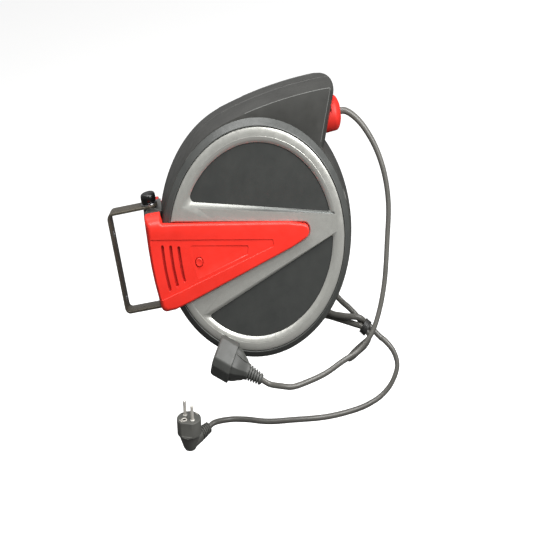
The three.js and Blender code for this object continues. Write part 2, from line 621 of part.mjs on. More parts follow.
// Coupler body along its own axis: octagonal socket block with a pin recess, then a tapering hood.
const OCTAGON = [
  [-22.5, -14], [-14, -22.5], [14, -22.5], [22.5, -14], [22.5, 14], [14, 22.5], [-14, 22.5], [-22.5, 14],
];
function couplerBody() {
  const block = bevelled(polygon(OCTAGON), 0, 14.5, 1.5, 1.5, 1, 4);
  const whole = block.add(block.mirror([0, 0, 1]));
  const hood = turned([[0, 13], [20, 13], [20.5, 16], [13, 33], [9.5, 39], [0, 39]], 12);
  return whole.add(hood).subtract(cylinder(19.5, -20, 3.5, 32));
}
const couplerBoot = () => {
  const profile = [[CABLE_R + GAP, 39.4], [9, 39.4]];
  for (let i = 0; i < 5; i += 1) {
    profile.push([8.8 - i * 0.3, 42 + i * 4], [7 - i * 0.3, 42.6 + i * 4], [7 - i * 0.3, 44.2 + i * 4],
      [8.6 - i * 0.3, 44.8 + i * 4]);
  }
  profile.push([7, 62], [CABLE_R + GAP, 62]);
  return turned(profile, 14);
};

// Angled earthed plug: local Z along the pins, local X along the pin pitch, local Y along the cable arm.
const PLUG_CENTRE = [66, -52, -187];
const PLUG_UP = new THREE.Vector3(0.152, -0.149, 0.977).normalize();
const PLUG_ALONG = new THREE.Vector3(0.825, 0.563, -0.042).addScaledVector(PLUG_UP, 0.0005).normalize();
const PLUG_ACROSS = new THREE.Vector3().crossVectors(PLUG_ALONG, PLUG_UP).normalize();
const PLUG_ARM = 43;             // cable arm: length, depth of its axis at the plug's middle, and rise
const PLUG_ARM_Z = -35;
const PLUG_ARM_RISE = THREE.MathUtils.degToRad(13.8);
const PLUG_PIN_PITCH = 19;
const PLUG_R = 19;

function plugArmPoint(along) {
  return new THREE.Vector3(...PLUG_CENTRE)
    .addScaledVector(PLUG_ALONG, along * Math.cos(PLUG_ARM_RISE))
    .addScaledVector(PLUG_UP, PLUG_ARM_Z + along * Math.sin(PLUG_ARM_RISE)).toArray();
}

function plugBody() {
  const cap = turned([
    [0, -44], [6, -43.4], [10, -40], [13, -32], [16.5, -25], [PLUG_R - 1, -20.5], [PLUG_R, -19.5],
    [PLUG_R, -1],
    [PLUG_R - 1, 0], [0, 0],
  ], 28);
  const rise = THREE.MathUtils.radToDeg(PLUG_ARM_RISE);
  const arm = turned([[0, 0], [9.6, 0], [9, 24], [7.6, PLUG_ARM - 4], [0, PLUG_ARM - 4]], 16)
    .rotate([-90 + rise, 0, 0]);
  const panel = box(-30, 30, -40, -16.7, -19.4, 5).rotate([0, 0, 38]);
  let body = cap.add(moved(arm, 0, 0, PLUG_ARM_Z)).subtract(panel);
  for (const side of [1, -1]) {
    body = body.subtract(moved(cylinder(2.7, -8, 4, 16), (side * PLUG_PIN_PITCH) / 2, 0, 0));
    body = body.subtract(box(-3.4, 3.4, side > 0 ? 14.6 : -20, side > 0 ? 20 : -14.6, -9, 4));
  }
  return body.subtract(moved(cylinder(2.7, -8, 4, 16), 0, -9, 0));
}
const plugPin = (side) => moved(turned([
  [0, -7.6], [2.4, -7.6], [2.4, 18.4], [1.4, 20], [0, 20],
], 16), (side * PLUG_PIN_PITCH) / 2, 0, 0);
const earthStrip = (side) => {
  const outer = side > 0 ? [14.9, 16.4] : [-16.4, -14.9];
  return box(-3, 3, outer[0], outer[1], -8.6, 1);
};

// ---------- assembly ----------
const reel = new THREE.Group();
const onPivot = new THREE.Group();
onPivot.position.set(PIVOT[0] - (DRUM_X - PIVOT_REACH), PIVOT[1], 0);
reel.add(onPivot);

const wallSide = new THREE.Group();
wallSide.rotation.z = Math.atan2(PIVOT[1], PIVOT[0]);
wallSide.add(named('wall_bracket', wallBracket(), material(BLACK_STEEL, 0.35, 0.7)));
reel.add(wallSide);

const pinGroup = new THREE.Group();
pinGroup.position.set(DRUM_X - PIVOT_REACH, 0, 0);
pinGroup.add(named('swivel_pin', swivelPin(), material(STEEL, 0.3, 1)));
pinGroup.add(named('pin_washer', pinWasher(), material(STEEL, 0.3, 1)));
pinGroup.add(named('pin_knob', pinKnob(), material(0x0b0b0b, 0.15)));
onPivot.add(pinGroup);

const housing = new THREE.Group();
housing.position.set(DRUM_X, 0, 0);
housing.rotation.x = Math.PI / 2;
const casePlastic = () => material(CASE_GREY, 0.6);
housing.add(named('casing_front', casingFront(), casePlastic()));
housing.add(named('casing_rear', casingRear(), casePlastic()));
housing.add(named('trim_front', trimFrame(), material(TRIM_SILVER, 0.35, 0.2)));
housing.add(named('trim_rear', trimFrame().mirror([0, 0, 1]), material(TRIM_SILVER, 0.35, 0.2)));
housing.add(named('side_cover_front', sideCover(true), material(COVER_RED, 0.4)));
housing.add(named('side_cover_rear', sideCover(false).mirror([0, 0, 1]), material(COVER_RED, 0.4)));
housing.add(named('pivot_block', pivotBlock(), casePlastic()));
housing.add(named('pivot_bush_upper', pivotBush(1), material(0xd8d4c8, 0.5)));
housing.add(named('pivot_bush_lower', pivotBush(-1), material(0xd8d4c8, 0.5)));
housing.add(named('cable_outlet', outletNozzle(), material(COVER_RED, 0.4)));
housing.add(named('roller_pin_upper', rollerPin(1), material(STEEL, 0.3, 1)));
housing.add(named('roller_pin_lower', rollerPin(-1), material(STEEL, 0.3, 1)));
housing.add(named('guide_roller_upper', guideRoller(1), material(0xd8d4c8, 0.5)));
housing.add(named('guide_roller_lower', guideRoller(-1), material(0xd8d4c8, 0.5)));
housing.add(named('reset_button', resetButton(), material(COVER_RED, 0.35)));
housing.add(named('thermal_switch', thermalSwitch(), material(0x1c1c1c, 0.6)));
housing.add(named('main_axle', mainAxle(), material(STEEL, 0.3, 1)));
housing.add(named('axle_bush_rear', axleBush(-9.6, -4), material(BRASS, 0.35, 1)));
housing.add(named('axle_bush_front', axleBush(-3.6, 2.3), material(BRASS, 0.35, 1)));
housing.add(named('ratchet_pawl', pawlArm(), material(STEEL, 0.4, 1)));
housing.add(named('pawl_pin', pawlPin(), material(STEEL, 0.3, 1)));
housing.add(named('pawl_spring', pawlSpring(), material(STEEL, 0.3, 1)));
housing.add(named('brush_holder', brushHolder(), material(INNER_PLASTIC, 0.6)));
housing.add(named('cord_gland', cordGland(), material(INNER_PLASTIC, 0.7)));
RING_PLACES.forEach((f, i) => {
  housing.add(named(`slip_ring_${RING_NAMES[i]}`, slipRing(f), material(BRASS, 0.3, 1)));
  housing.add(named(`contact_brush_${RING_NAMES[i]}`, brush(f), material(0x3a3a3a, 0.7)));
});
postPlaces.forEach(([x, y], i) => {
  housing.add(named(`casing_screw_${i + 1}`, moved(casingScrew(), x, y, 0), material(STEEL, 0.4, 1)));
});
housing.add(named('drum_core', drumCore(), material(INNER_PLASTIC, 0.6)));
housing.add(named('drum_flange_front', drumFlange(DRUM_FRONT), material(INNER_PLASTIC, 0.6)));
const rearFlange = drumFlange(-DRUM_REAR).mirror([0, 0, 1]);
housing.add(named('drum_flange_rear', rearFlange, material(INNER_PLASTIC, 0.6)));
housing.add(named('wound_cable', cableCoil(), material(CORD_GREY, 0.7)));
housing.add(named('spiral_spring', spiralSpring(), material(STEEL, 0.35, 1)));
housing.add(named('spring_lid', springLid(), material(INNER_PLASTIC, 0.6)));
housing.add(named('ratchet_wheel', ratchetWheel(), material(INNER_PLASTIC, 0.5)));
housing.add(named('slip_ring_carrier', slipCarrier(), material(INNER_PLASTIC, 0.6)));
onPivot.add(housing);

const cords = new THREE.Group();
cords.add(named('output_cable', outputCable(), material(CORD_GREY, 0.6)));
cords.add(named('supply_cord', supplyCord(), material(CORD_GREY, 0.6)));
cords.add(named('cord_tie', cordTie(), material(0x2a2a2a, 0.6)));
onPivot.add(cords);

const coupler = new THREE.Group();
coupler.position.set(...COUPLER_CENTRE);
coupler.quaternion.setFromRotationMatrix(new THREE.Matrix4().makeBasis(...couplerBasis));
coupler.add(named('coupler_body', couplerBody(), material(CORD_GREY, 0.6)));
coupler.add(named('coupler_boot', couplerBoot(), material(CORD_GREY, 0.65)));
onPivot.add(coupler);

const plug = new THREE.Group();
plug.position.set(...PLUG_CENTRE);
plug.quaternion.setFromRotationMatrix(new THREE.Matrix4().makeBasis(PLUG_ACROSS, PLUG_ALONG, PLUG_UP));
plug.add(named('plug_body', plugBody(), material(PLUG_GREY, 0.6)));
for (const [name, side] of [['left', -1], ['right', 1]]) {
  plug.add(named(`plug_pin_${name}`, plugPin(side), material(0xd9d6cc, 0.2, 1)));
}
for (const [name, side] of [['front', -1], ['back', 1]]) {
  plug.add(named(`plug_earth_strip_${name}`, earthStrip(side), material(0xd9d6cc, 0.2, 1)));
}
onPivot.add(plug);

export default reel;
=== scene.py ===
"""Looks of the extension cord reel: fine shells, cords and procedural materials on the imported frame."""
import json
import math

import bmesh
import bpy
import numpy as np
from mathutils import Matrix, Vector


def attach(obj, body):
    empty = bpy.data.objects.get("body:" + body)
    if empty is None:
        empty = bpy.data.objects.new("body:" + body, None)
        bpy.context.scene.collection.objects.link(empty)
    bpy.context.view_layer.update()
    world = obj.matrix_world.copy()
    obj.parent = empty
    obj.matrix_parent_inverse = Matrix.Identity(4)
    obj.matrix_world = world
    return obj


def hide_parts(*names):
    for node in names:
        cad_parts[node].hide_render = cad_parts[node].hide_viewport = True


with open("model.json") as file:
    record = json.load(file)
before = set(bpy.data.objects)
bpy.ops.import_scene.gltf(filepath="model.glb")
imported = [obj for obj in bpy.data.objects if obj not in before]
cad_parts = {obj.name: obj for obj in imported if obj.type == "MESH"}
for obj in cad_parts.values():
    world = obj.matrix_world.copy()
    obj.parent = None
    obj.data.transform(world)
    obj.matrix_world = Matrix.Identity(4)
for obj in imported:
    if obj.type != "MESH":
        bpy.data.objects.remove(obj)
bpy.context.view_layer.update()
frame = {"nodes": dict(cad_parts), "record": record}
nodes = frame["nodes"]

MM = 0.001
DRUM_X, MID_Y = 210.5, -13.0     # drum axis and housing mid-plane in the row frame, mm
REEL_X = -1.5                    # shift of the cord drawing frame in X, mm
PIVOT = (63.0, -13.0)


def h(x, z, f):
    """Housing point: x right, z up from the drum axis, f towards the front of the mid-plane, in mm."""
    return Vector(((DRUM_X + x) * MM, (MID_Y - f) * MM, z * MM))


def reel(x, y, z):
    """Cord point in the drawing frame of the cords, in mm."""
    return Vector(((x + REEL_X) * MM, (y + MID_Y) * MM, z * MM))


# ---------------------------------------------------------------- materials
class Nodes:
    """A small helper that builds one procedural material."""

    def __init__(self, name):
        self.material = bpy.data.materials.new(name)
        self.material.use_nodes = True
        self.tree = self.material.node_tree
        self.shader = self.tree.nodes["Principled BSDF"]
        coords = self.tree.nodes.new("ShaderNodeTexCoord")
        scale = self.tree.nodes.new("ShaderNodeVectorMath")
        scale.operation = "SCALE"
        scale.inputs["Scale"].default_value = 1000.0
        self.tree.links.new(coords.outputs["Object"], scale.inputs[0])
        self.mm = scale.outputs[0]

    def link(self, a, b):
        self.tree.links.new(a, b)

    def noise(self, scale, detail=3.0, roughness=0.5, vector=None):
        node = self.tree.nodes.new("ShaderNodeTexNoise")
        node.inputs["Scale"].default_value = scale
        node.inputs["Detail"].default_value = detail
        node.inputs["Roughness"].default_value = roughness
        self.link(vector or self.mm, node.inputs["Vector"])
        return node.outputs["Fac"]

    def stretch(self, x, y, z):
        node = self.tree.nodes.new("ShaderNodeVectorMath")
        node.operation = "MULTIPLY"
        node.inputs[1].default_value = (x, y, z)
        self.link(self.mm, node.inputs[0])
        return node.outputs[0]

    def ramp(self, fac, low, high, start=0.3, end=0.7):
        node = self.tree.nodes.new("ShaderNodeMapRange")
        node.inputs["From Min"].default_value = start
        node.inputs["From Max"].default_value = end
        node.inputs["To Min"].default_value = low
        node.inputs["To Max"].default_value = high
        self.link(fac, node.inputs["Value"])
        return node.outputs["Result"]

    def mix(self, fac, a, b):
        node = self.tree.nodes.new("ShaderNodeMix")
        node.data_type = "RGBA"
        for socket, value in ((node.inputs[6], a), (node.inputs[7], b)):
            if isinstance(value, tuple):
                socket.default_value = (*value, 1.0)
            else:
                self.link(value, socket)
        self.link(fac, node.inputs[0])
        return node.outputs[2]

    def convex_edge_mask(self):
        """1 on convex edges, 0 on flats."""
        geometry = self.tree.nodes.new("ShaderNodeNewGeometry")
        return self.ramp(geometry.outputs["Pointiness"], 0.0, 1.0, 0.53, 0.62)

    def bump(self, height, strength, distance_mm):
        node = self.tree.nodes.new("ShaderNodeBump")
        node.inputs["Strength"].default_value = strength
        node.inputs["Distance"].default_value = distance_mm * MM
        self.link(height, node.inputs["Height"])
        previous = self.shader.inputs["Normal"].links
        if previous:
            self.link(previous[0].from_socket, node.inputs["Normal"])
        self.link(node.outputs["Normal"], self.shader.inputs["Normal"])

    def set(self, **values):
        for name, value in values.items():
            socket = self.shader.inputs[name.replace("_", " ")]
            if isinstance(value, (int, float, tuple)):
                socket.default_value = (*value, 1.0) if isinstance(value, tuple) else value
            else:
                self.link(value, socket)
        return self


def moulded(name, dark, light, roughness, grain=1.6, depth=0.05, rubbed_edges_and_highlight=None, coat=0.0):
    """Moulded plastic or rubber: mottled colour, fine grain and lighter convex edges, which are rubbed wear
    and, on the casing, partly a painted highlight.
    """
    n = Nodes(name)
    colour = n.mix(n.ramp(n.noise(0.035, 4.0), 0.0, 1.0), dark, light)
    if rubbed_edges_and_highlight:
        # Lighter convex edges: rubbed wear, and on the casing also a painted highlight.
        colour = n.mix(n.convex_edge_mask(), colour, rubbed_edges_and_highlight)
    n.set(Base_Color=colour, Roughness=n.ramp(n.noise(0.12, 3.0), roughness - 0.06, roughness + 0.06))
    n.set(Coat_Weight=coat, Coat_Roughness=0.25)
    n.bump(n.noise(grain, 2.0), 0.35, depth)
    return n.material


def metal(name, dark, light, roughness, stretch=(1.0, 1.0, 1.0), scratch=0.25, metallic=1.0):
    """Metal with fine directional scratches."""
    n = Nodes(name)
    lines = n.noise(0.9, 4.0, 0.6, n.stretch(*stretch))
    n.set(Base_Color=n.mix(n.ramp(lines, 0.0, 1.0), dark, light), Metallic=metallic)
    n.set(Roughness=n.ramp(n.noise(0.2, 3.0), roughness - 0.07, roughness + 0.09))
    n.bump(lines, scratch, 0.02)
    return n.material


def sill_painted_reflection():
    """Silver paint of the upper window's slope with a painted reflection: darker along its straight sill
    towards the right, light towards the left.
    """
    n = Nodes("silver sill painted reflection")
    across = n.tree.nodes.new("ShaderNodeVectorMath")
    across.operation = "DOT_PRODUCT"
    n.link(n.mm, across.inputs[0])
    across.inputs[1].default_value = (math.tan(math.radians(14.8)), 0.0, 1.0)
    along = n.tree.nodes.new("ShaderNodeSeparateXYZ")
    n.link(n.mm, along.inputs[0])
    # Mask of the sill, along which the painted dark reflection lies.
    sill = n.ramp(across.outputs["Value"], 0.0, 1.0, 97.6, 99.1)
    light, shade = (0.48, 0.48, 0.445), (0.10, 0.105, 0.10)
    n.set(Base_Color=n.mix(n.ramp(along.outputs["X"], 0.0, 1.0, 118.0, 230.0), light,
                           n.mix(sill, shade, light)))
    n.set(Metallic=0.55, Roughness=0.36)
    return n.material


# Casing plastic: its last, light tone on convex edges is partly rubbed wear and partly a painted highlight
# along the creases.
CASE = moulded("casing grey plastic", (0.038, 0.038, 0.035), (0.050, 0.050, 0.046), 0.46, 2.2, 0.06,
               (0.15, 0.15, 0.14))
# Light tone for the bead along the casing's crease: a painted highlight, not rubbed wear.
CREASE_HIGHLIGHT = moulded("casing crease painted highlight", (0.150, 0.152, 0.145), (0.185, 0.187, 0.180), 0.40)
PANEL = moulded("textured panel plastic", (0.030, 0.032, 0.030), (0.039, 0.041, 0.038), 0.55, 1.3, 0.10)
BOSS = moulded("boss rim plastic", (0.055, 0.058, 0.055), (0.070, 0.073, 0.069), 0.40, 2.2, 0.04,
               (0.09, 0.09, 0.085))
RED = moulded("red plastic", (0.82, 0.026, 0.014), (0.90, 0.031, 0.018), 0.42, 0.7, 0.03, (0.92, 0.05, 0.03),
              0.06)
# A darker copy of the red plastic for the cable outlet: painted shade that tones down the brighter light it
# gets near the lamps.
OUTLET_RED_SHADED = moulded("outlet red plastic painted shade", (0.62, 0.018, 0.010), (0.70, 0.022, 0.013), 0.55)
# A darker copy of the red plastic for slot and seat walls: painted shade in the recesses.
RED_RECESS_SHADE = moulded("red plastic painted recess shade", (0.60, 0.018, 0.012), (0.66, 0.022, 0.014), 0.45, 0.9, 0.04)
SILVER = metal("silver metallic paint", (0.44, 0.44, 0.405), (0.52, 0.52, 0.485), 0.36, scratch=0.06,
               metallic=0.55)
# Silver with a painted reflection, for the upper window's slope only.
SILVER_SILL_REFLECTION = sill_painted_reflection()
STEEL_BLACK = metal("black bronze steel", (0.092, 0.081, 0.061), (0.200, 0.178, 0.142), 0.32,
                    (1.0, 1.0, 0.08), 0.15, 0.65)
STEEL = metal("bright steel", (0.45, 0.45, 0.46), (0.62, 0.62, 0.63), 0.24, (1.0, 1.0, 0.1))
NICKEL = metal("nickel plating", (0.66, 0.63, 0.57), (0.84, 0.81, 0.75), 0.36, (1.0, 1.0, 0.2), 0.05, 0.5)
BRASS = metal("turned brass", (0.40, 0.26, 0.09), (0.55, 0.38, 0.15), 0.28, (0.1, 4.0, 0.1))
KNOB = moulded("gloss black phenolic", (0.003, 0.003, 0.003), (0.006, 0.006, 0.006), 0.26, 0.5, 0.01, None,
               0.2)
RUBBER = moulded("cord rubber", (0.090, 0.087, 0.078), (0.115, 0.111, 0.100), 0.34, 1.5, 0.05,
                 (0.16, 0.155, 0.145))
PLUG_RUBBER = moulded("plug rubber", (0.082, 0.082, 0.074), (0.110, 0.110, 0.100), 0.50, 1.5, 0.05,
                      (0.16, 0.16, 0.15))
COUPLER = moulded("coupler rubber", (0.060, 0.062, 0.057), (0.080, 0.083, 0.077), 0.52, 1.5, 0.05,
                  (0.15, 0.15, 0.14))
# Near-black for the painted shadow line around the trim windows.
SHADOW_LINE = moulded("painted shadow line", (0.006, 0.006, 0.006), (0.010, 0.010, 0.010), 0.7)
DARK = moulded("inner dark plastic", (0.020, 0.021, 0.022), (0.032, 0.033, 0.034), 0.55)
BEARING = moulded("bearing plastic", (0.55, 0.53, 0.47), (0.63, 0.61, 0.55), 0.45)
TIE = moulded("cord tie rubber", (0.020, 0.020, 0.020), (0.035, 0.035, 0.033), 0.5, 1.2, 0.05)
CARBON = moulded("brush carbon", (0.018, 0.018, 0.018), (0.03, 0.03, 0.03), 0.7)
COLLAR = moulded("pin collar plastic", (0.60, 0.59, 0.55), (0.70, 0.69, 0.65), 0.4)


# ---------------------------------------------------------------- mesh helpers
def apply_modifiers(obj):
    bpy.context.view_layer.update()
    graph = bpy.context.evaluated_depsgraph_get()
    baked = bpy.data.meshes.new_from_object(obj.evaluated_get(graph))
    obj.modifiers.clear()
    old = obj.data
    obj.data = baked
    bpy.data.meshes.remove(old)


def finish_mesh(obj, angle=32.0):
    """Applies the modifiers and shades smooth below the given angle."""
    apply_modifiers(obj)
    obj.data.shade_smooth()
    obj.data.set_sharp_from_angle(angle=math.radians(angle))


def make(name, verts, faces, material):
    data = bpy.data.meshes.new(name)
    data.from_pydata([tuple(v) for v in verts], [], faces)
    bm = bmesh.new()
    bm.from_mesh(data)
    bmesh.ops.remove_doubles(bm, verts=bm.verts, dist=1e-6)
    bmesh.ops.recalc_face_normals(bm, faces=bm.faces)
    bm.to_mesh(data)
    bm.free()
    data.materials.append(material)
    obj = bpy.data.objects.new(name, data)
    bpy.context.scene.collection.objects.link(obj)
    return obj


def grid(rows, around=False, along=False, caps=(False, False)):
    """Quads between rows of points; around closes each row, along joins the last row to the first."""
    count = len(rows[0])
    verts = [p for row in rows for p in row]
    faces = []
    for i in range(len(rows) - (0 if along else 1)):
        a, b = i * count, ((i + 1) % len(rows)) * count
        for j in range(count if around else count - 1):
            k = (j + 1) % count
            faces.append((a + j, a + k, b + k, b + j))
    if caps[0]:
        faces.append(tuple(range(count)))
    if caps[1]:
        faces.append(tuple((len(rows) - 1) * count + j for j in range(count)))
    return verts, faces


def bevel(obj, width_mm, segments=3, angle=38.0):
    m = obj.modifiers.new("edges", "BEVEL")
    m.width = width_mm * MM
    m.segments = segments
    m.limit_method = "ANGLE"
    m.angle_limit = math.radians(angle)
    m.harden_normals = False


def cut(obj, tool):
    """Takes the tool's solid out of obj; the cut faces get the tool's material."""
    m = obj.modifiers.new("cut", "BOOLEAN")
    m.operation = "DIFFERENCE"
    m.solver = "EXACT"
    m.material_mode = "TRANSFER"
    m.object = tool
    apply_modifiers(obj)
    data = tool.data
    bpy.data.objects.remove(tool)
    bpy.data.meshes.remove(data)


def piece(obj, body, slot, *replaced, angle=32.0):
    finish_mesh(obj, angle)
    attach(obj, body)
    if replaced:
        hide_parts(*replaced)
    return obj


def merged(name, objects):
    """Joins meshes into one object."""
    bm = bmesh.new()
    materials = []
    for obj in objects:
        finish_mesh(obj)
        part = obj.data
        remap = []
        for m in part.materials:
            if m not in materials:
                materials.append(m)
            remap.append(materials.index(m))
        part.transform(obj.matrix_world)
        start = len(bm.faces)
        bm.from_mesh(part)
        bm.faces.ensure_lookup_table()
        for face in bm.faces[start:]:
            face.material_index = remap[face.material_index]
        bpy.data.objects.remove(obj)
    data = bpy.data.meshes.new(name)
    bm.to_mesh(data)
    bm.free()
    for m in materials:
        data.materials.append(m)
    obj = bpy.data.objects.new(name, data)
    bpy.context.scene.collection.objects.link(obj)
    return obj


def offset(outline, distance):
    """A closed outline moved outwards by distance (one number or one per point), with mitred corners."""
    p = np.asarray(outline, float)
    d = np.broadcast_to(np.asarray(distance, float), (len(p),))
    forward = np.roll(p, -1, axis=0) - p
    forward /= np.linalg.norm(forward, axis=1)[:, None]
    normal = np.stack((forward[:, 1], -forward[:, 0]), axis=1)
    before = np.roll(normal, 1, axis=0)
    mitre = (normal + before) / (1.0 + (normal * before).sum(axis=1))[:, None]
    return p + mitre * d[:, None]


def rounded(corners, steps=6):
    """A closed outline, counter-clockwise, from (x, y, corner radius) points."""
    points = []
    count = len(corners)
    for i, (x, y, r) in enumerate(corners):
        here = np.array((x, y), float)
        if r <= 0:
            points.append(here)
            continue
        back = np.array(corners[i - 1][:2]) - here
        ahead = np.array(corners[(i + 1) % count][:2]) - here
        back /= np.linalg.norm(back)
        ahead /= np.linalg.norm(ahead)
        half = math.acos(max(-1.0, min(1.0, float(back @ ahead)))) / 2
        reach = r / math.tan(half)
        centre = here + (back + ahead) / np.linalg.norm(back + ahead) * r / math.sin(half)
        start, end = here + back * reach - centre, here + ahead * reach - centre
        a0, a1 = math.atan2(start[1], start[0]), math.atan2(end[1], end[0])
        while a1 - a0 > math.pi:
            a1 -= 2 * math.pi
        while a1 - a0 < -math.pi:
            a1 += 2 * math.pi
        for k in range(steps + 1):
            a = a0 + (a1 - a0) * k / steps
            points.append(centre + r * np.array((math.cos(a), math.sin(a))))
    return np.array(points)


def prism(name, levels, material, place=h, caps=(True, True)):
    """A solid through outlines at given heights: levels are (outline, height)."""
    rows = [[place(x, y, f) for x, y in outline] for outline, f in levels]
    return make(name, *grid(rows, around=True, caps=caps), material)


def turned(name, profile, material, place, segments=64, closed=False):
    """A surface of revolution of a (radius, height) profile; place maps its points to the row frame."""
    rows = []
    for k in range(segments):
        a = 2 * math.pi * k / segments
        rows.append([place(r * math.cos(a), r * math.sin(a), z) for r, z in profile])
    return make(name, *grid(rows, around=closed, along=True), material)


def arc(cx, cy, r, a0, a1, steps):
    return [(cx + r * math.cos(math.radians(a0 + (a1 - a0) * k / steps)),
             cy + r * math.sin(math.radians(a0 + (a1 - a0) * k / steps))) for k in range(steps + 1)]


def smooth_path(points, per_span=14):
    """Centripetal Catmull-Rom through the points."""
    p = [Vector(v) for v in points]
    p = [2 * p[0] - p[1]] + p + [2 * p[-1] - p[-2]]
    out = []
    for i in range(1, len(p) - 2):
        a, b, c, d = p[i - 1:i + 3]
        t = [0.0]
        for u, v in ((a, b), (b, c), (c, d)):
            t.append(t[-1] + max((v - u).length, 1e-9) ** 0.5)
        for k in range(per_span):
            s = t[1] + (t[2] - t[1]) * k / per_span
            a1 = a.lerp(b, (s - t[0]) / (t[1] - t[0]))
            a2 = b.lerp(c, (s - t[1]) / (t[2] - t[1]))
            a3 = c.lerp(d, (s - t[2]) / (t[3] - t[2]))
            b1 = a1.lerp(a2, (s - t[0]) / (t[2] - t[0]))
            b2 = a2.lerp(a3, (s - t[1]) / (t[3] - t[1]))
            out.append(b1.lerp(b2, (s - t[1]) / (t[2] - t[1])))
    out.append(p[-2])
    return out


def swept(name, path, radius_mm, material, sides=20):
    """A round cord along a path of row-frame points."""
    last = len(path) - 1
    tangents = [(path[min(i + 1, last)] - path[max(i - 1, 0)]).normalized() for i in range(len(path))]
    side = tangents[0].orthogonal().normalized()
    rows = []
    for i, (p, t) in enumerate(zip(path, tangents)):
        side = (side - t * side.dot(t)).normalized()
        up = t.cross(side)
        r = radius_mm * MM
        rows.append([p + (side * math.cos(a) + up * math.sin(a)) * r
                     for a in (2 * math.pi * k / sides for k in range(sides))])
    return make(name, *grid(rows, around=True, caps=(True, True)), material)


# ---------------------------------------------------------------- casing
CASE_R, CASE_HALF, CROWN = 139.5, 41.5, 3.5
NOSE_R, NOSE_X, NOSE_TOP = 638.0, 85.0, 147.2
MOUTH_TOP = np.array((135.0, 145.2))
MOUTH_TILT = math.radians(23.0)
MOUTH_DOWN = np.array((-math.sin(MOUTH_TILT), -math.cos(MOUTH_TILT)))
MOUTH_OUT = np.array((math.cos(MOUTH_TILT), -math.sin(MOUTH_TILT)))
MOUTH_CROWN = 9.3
NOSE_CENTRE = np.array((NOSE_X, NOSE_TOP - NOSE_R))


def casing_section(f, rear):
    """Closed outline of the casing at height f: crowned body and nose, bulging end wall, round corner."""
    t = f / CASE_HALF
    swell = CROWN * (1 - t * t)
    bulge = MOUTH_CROWN * math.sqrt(max(0.0, 1 - t * t))
    corner_r = 12.0 + 2.0 * t if rear else 1.6 + 10.4 * math.sqrt(max(0.0, 1 - t * t))
    radius, top_r = CASE_R + swell, NOSE_R + swell
    start = MOUTH_TOP + MOUTH_OUT * bulge
    from_nose = start - NOSE_CENTRE
    along = MOUTH_DOWN @ from_nose
    half_chord = math.sqrt(along ** 2 - (from_nose @ from_nose) + top_r ** 2)
    corner = start + MOUTH_DOWN * (-along - half_chord)
    if (corner - NOSE_CENTRE)[1] < 0:
        corner = start + MOUTH_DOWN * (-along + half_chord)
    along = MOUTH_DOWN @ start
    foot = start + MOUTH_DOWN * (-along - math.sqrt(along ** 2 - start @ start + radius ** 2))
    reach = corner_r / math.tan(math.radians(35.5)) * 1.06 + 0.4
    join = math.degrees(math.atan2(-NOSE_CENTRE[1], -NOSE_CENTRE[0]))
    first = math.degrees(math.atan2(*(corner - NOSE_CENTRE)[::-1])) + math.degrees(reach / top_r)
    foot_angle = math.degrees(math.atan2(foot[1], foot[0])) + 360
    body = [(*p, 0) for p in arc(*NOSE_CENTRE, top_r, first, join, 40)]
    body += [(*p, 0) for p in arc(0, 0, radius, join, foot_angle, 200)[1:]]
    last = corner + MOUTH_DOWN * reach
    body += [(*(foot + (last - foot) * k / 12), 0) for k in range(1, 13)]
    return rounded(body + [(*corner, corner_r)], 10)


def casing_half(name, side, *replaced):
    heights = (0.12, 0.75, 5, 10, 15, 20, 25, 29, 32.5, 35.5, 38, 39.8, 41, CASE_HALF)
    sections = [casing_section(f, side < 0) for f in heights]
    sections[0] = offset(sections[0], -0.7)
    rows = [[h(x, z, side * f) for x, z in line] for f, line in zip(heights, sections)]
    verts, faces = grid(rows, around=True)
    ring = sections[-1]
    inner = ring * (136.0 / np.hypot(ring[:, 0], ring[:, 1]))[:, None]
    front = [[h(x, z, side * CASE_HALF) for x, z in line] for line in (ring, (ring + inner) / 2, inner)]
    more, quads = grid(front, around=True)
    base = len(verts)
    shell = make(name, verts + more, faces + [tuple(base + i for i in q) for q in quads], CASE)
    m = shell.modifiers.new("wall", "SOLIDIFY")
    m.thickness = 3.6 * MM
    m.offset = -1.0
    m.use_even_offset = True
    bevel(shell, 1.3, 3, 40)
    profile = [(139.0, 40.0), (138.2, 41.55), (137.9, 41.8), (132.2, 48.35), (131.6, 48.85), (131.0, 49.0),
               (130.6, 48.8),
               (130.4, 48.3), (130.3, 46.0)]
    boss = turned(name + "_boss", profile, BOSS, lambda x, z, f: h(x, z, side * f), 200)
    panel = turned(name + "_panel", [(130.4, 46.0), (90.0, 46.0), (45.0, 46.0), (0.0, 46.0)], PANEL,
                   lambda x, z, f: h(x, z, side * f), 200)
    # A thin light bead along the nose's front edge: a painted highlight where light catches the sharp crease.
    crest = [tuple(p) for p in np.roll(ring, len(ring) // 2, axis=0) if math.hypot(*p) > 143.0]
    crease = swept(name + "_crease_highlight", [h(x, z, side * (CASE_HALF - 0.25)) for x, z in crest], 0.42, CREASE_HIGHLIGHT, 8)
    finish_mesh(shell, 40)
    whole = merged(name, [shell, boss, panel, crease])
    return piece(whole, "housing", "case_plastic", *replaced, angle=30)


# ---------------------------------------------------------------- silver trim
WINDOW_ANGLE = math.radians(14.8)
WINDOW_SLOPE = math.tan(WINDOW_ANGLE)
WINDOW_HALF = 42.5                       # half distance between the windows at the drum axis
WINDOW_FOOT_R, WINDOW_FACE_R = 112.5, 118.7


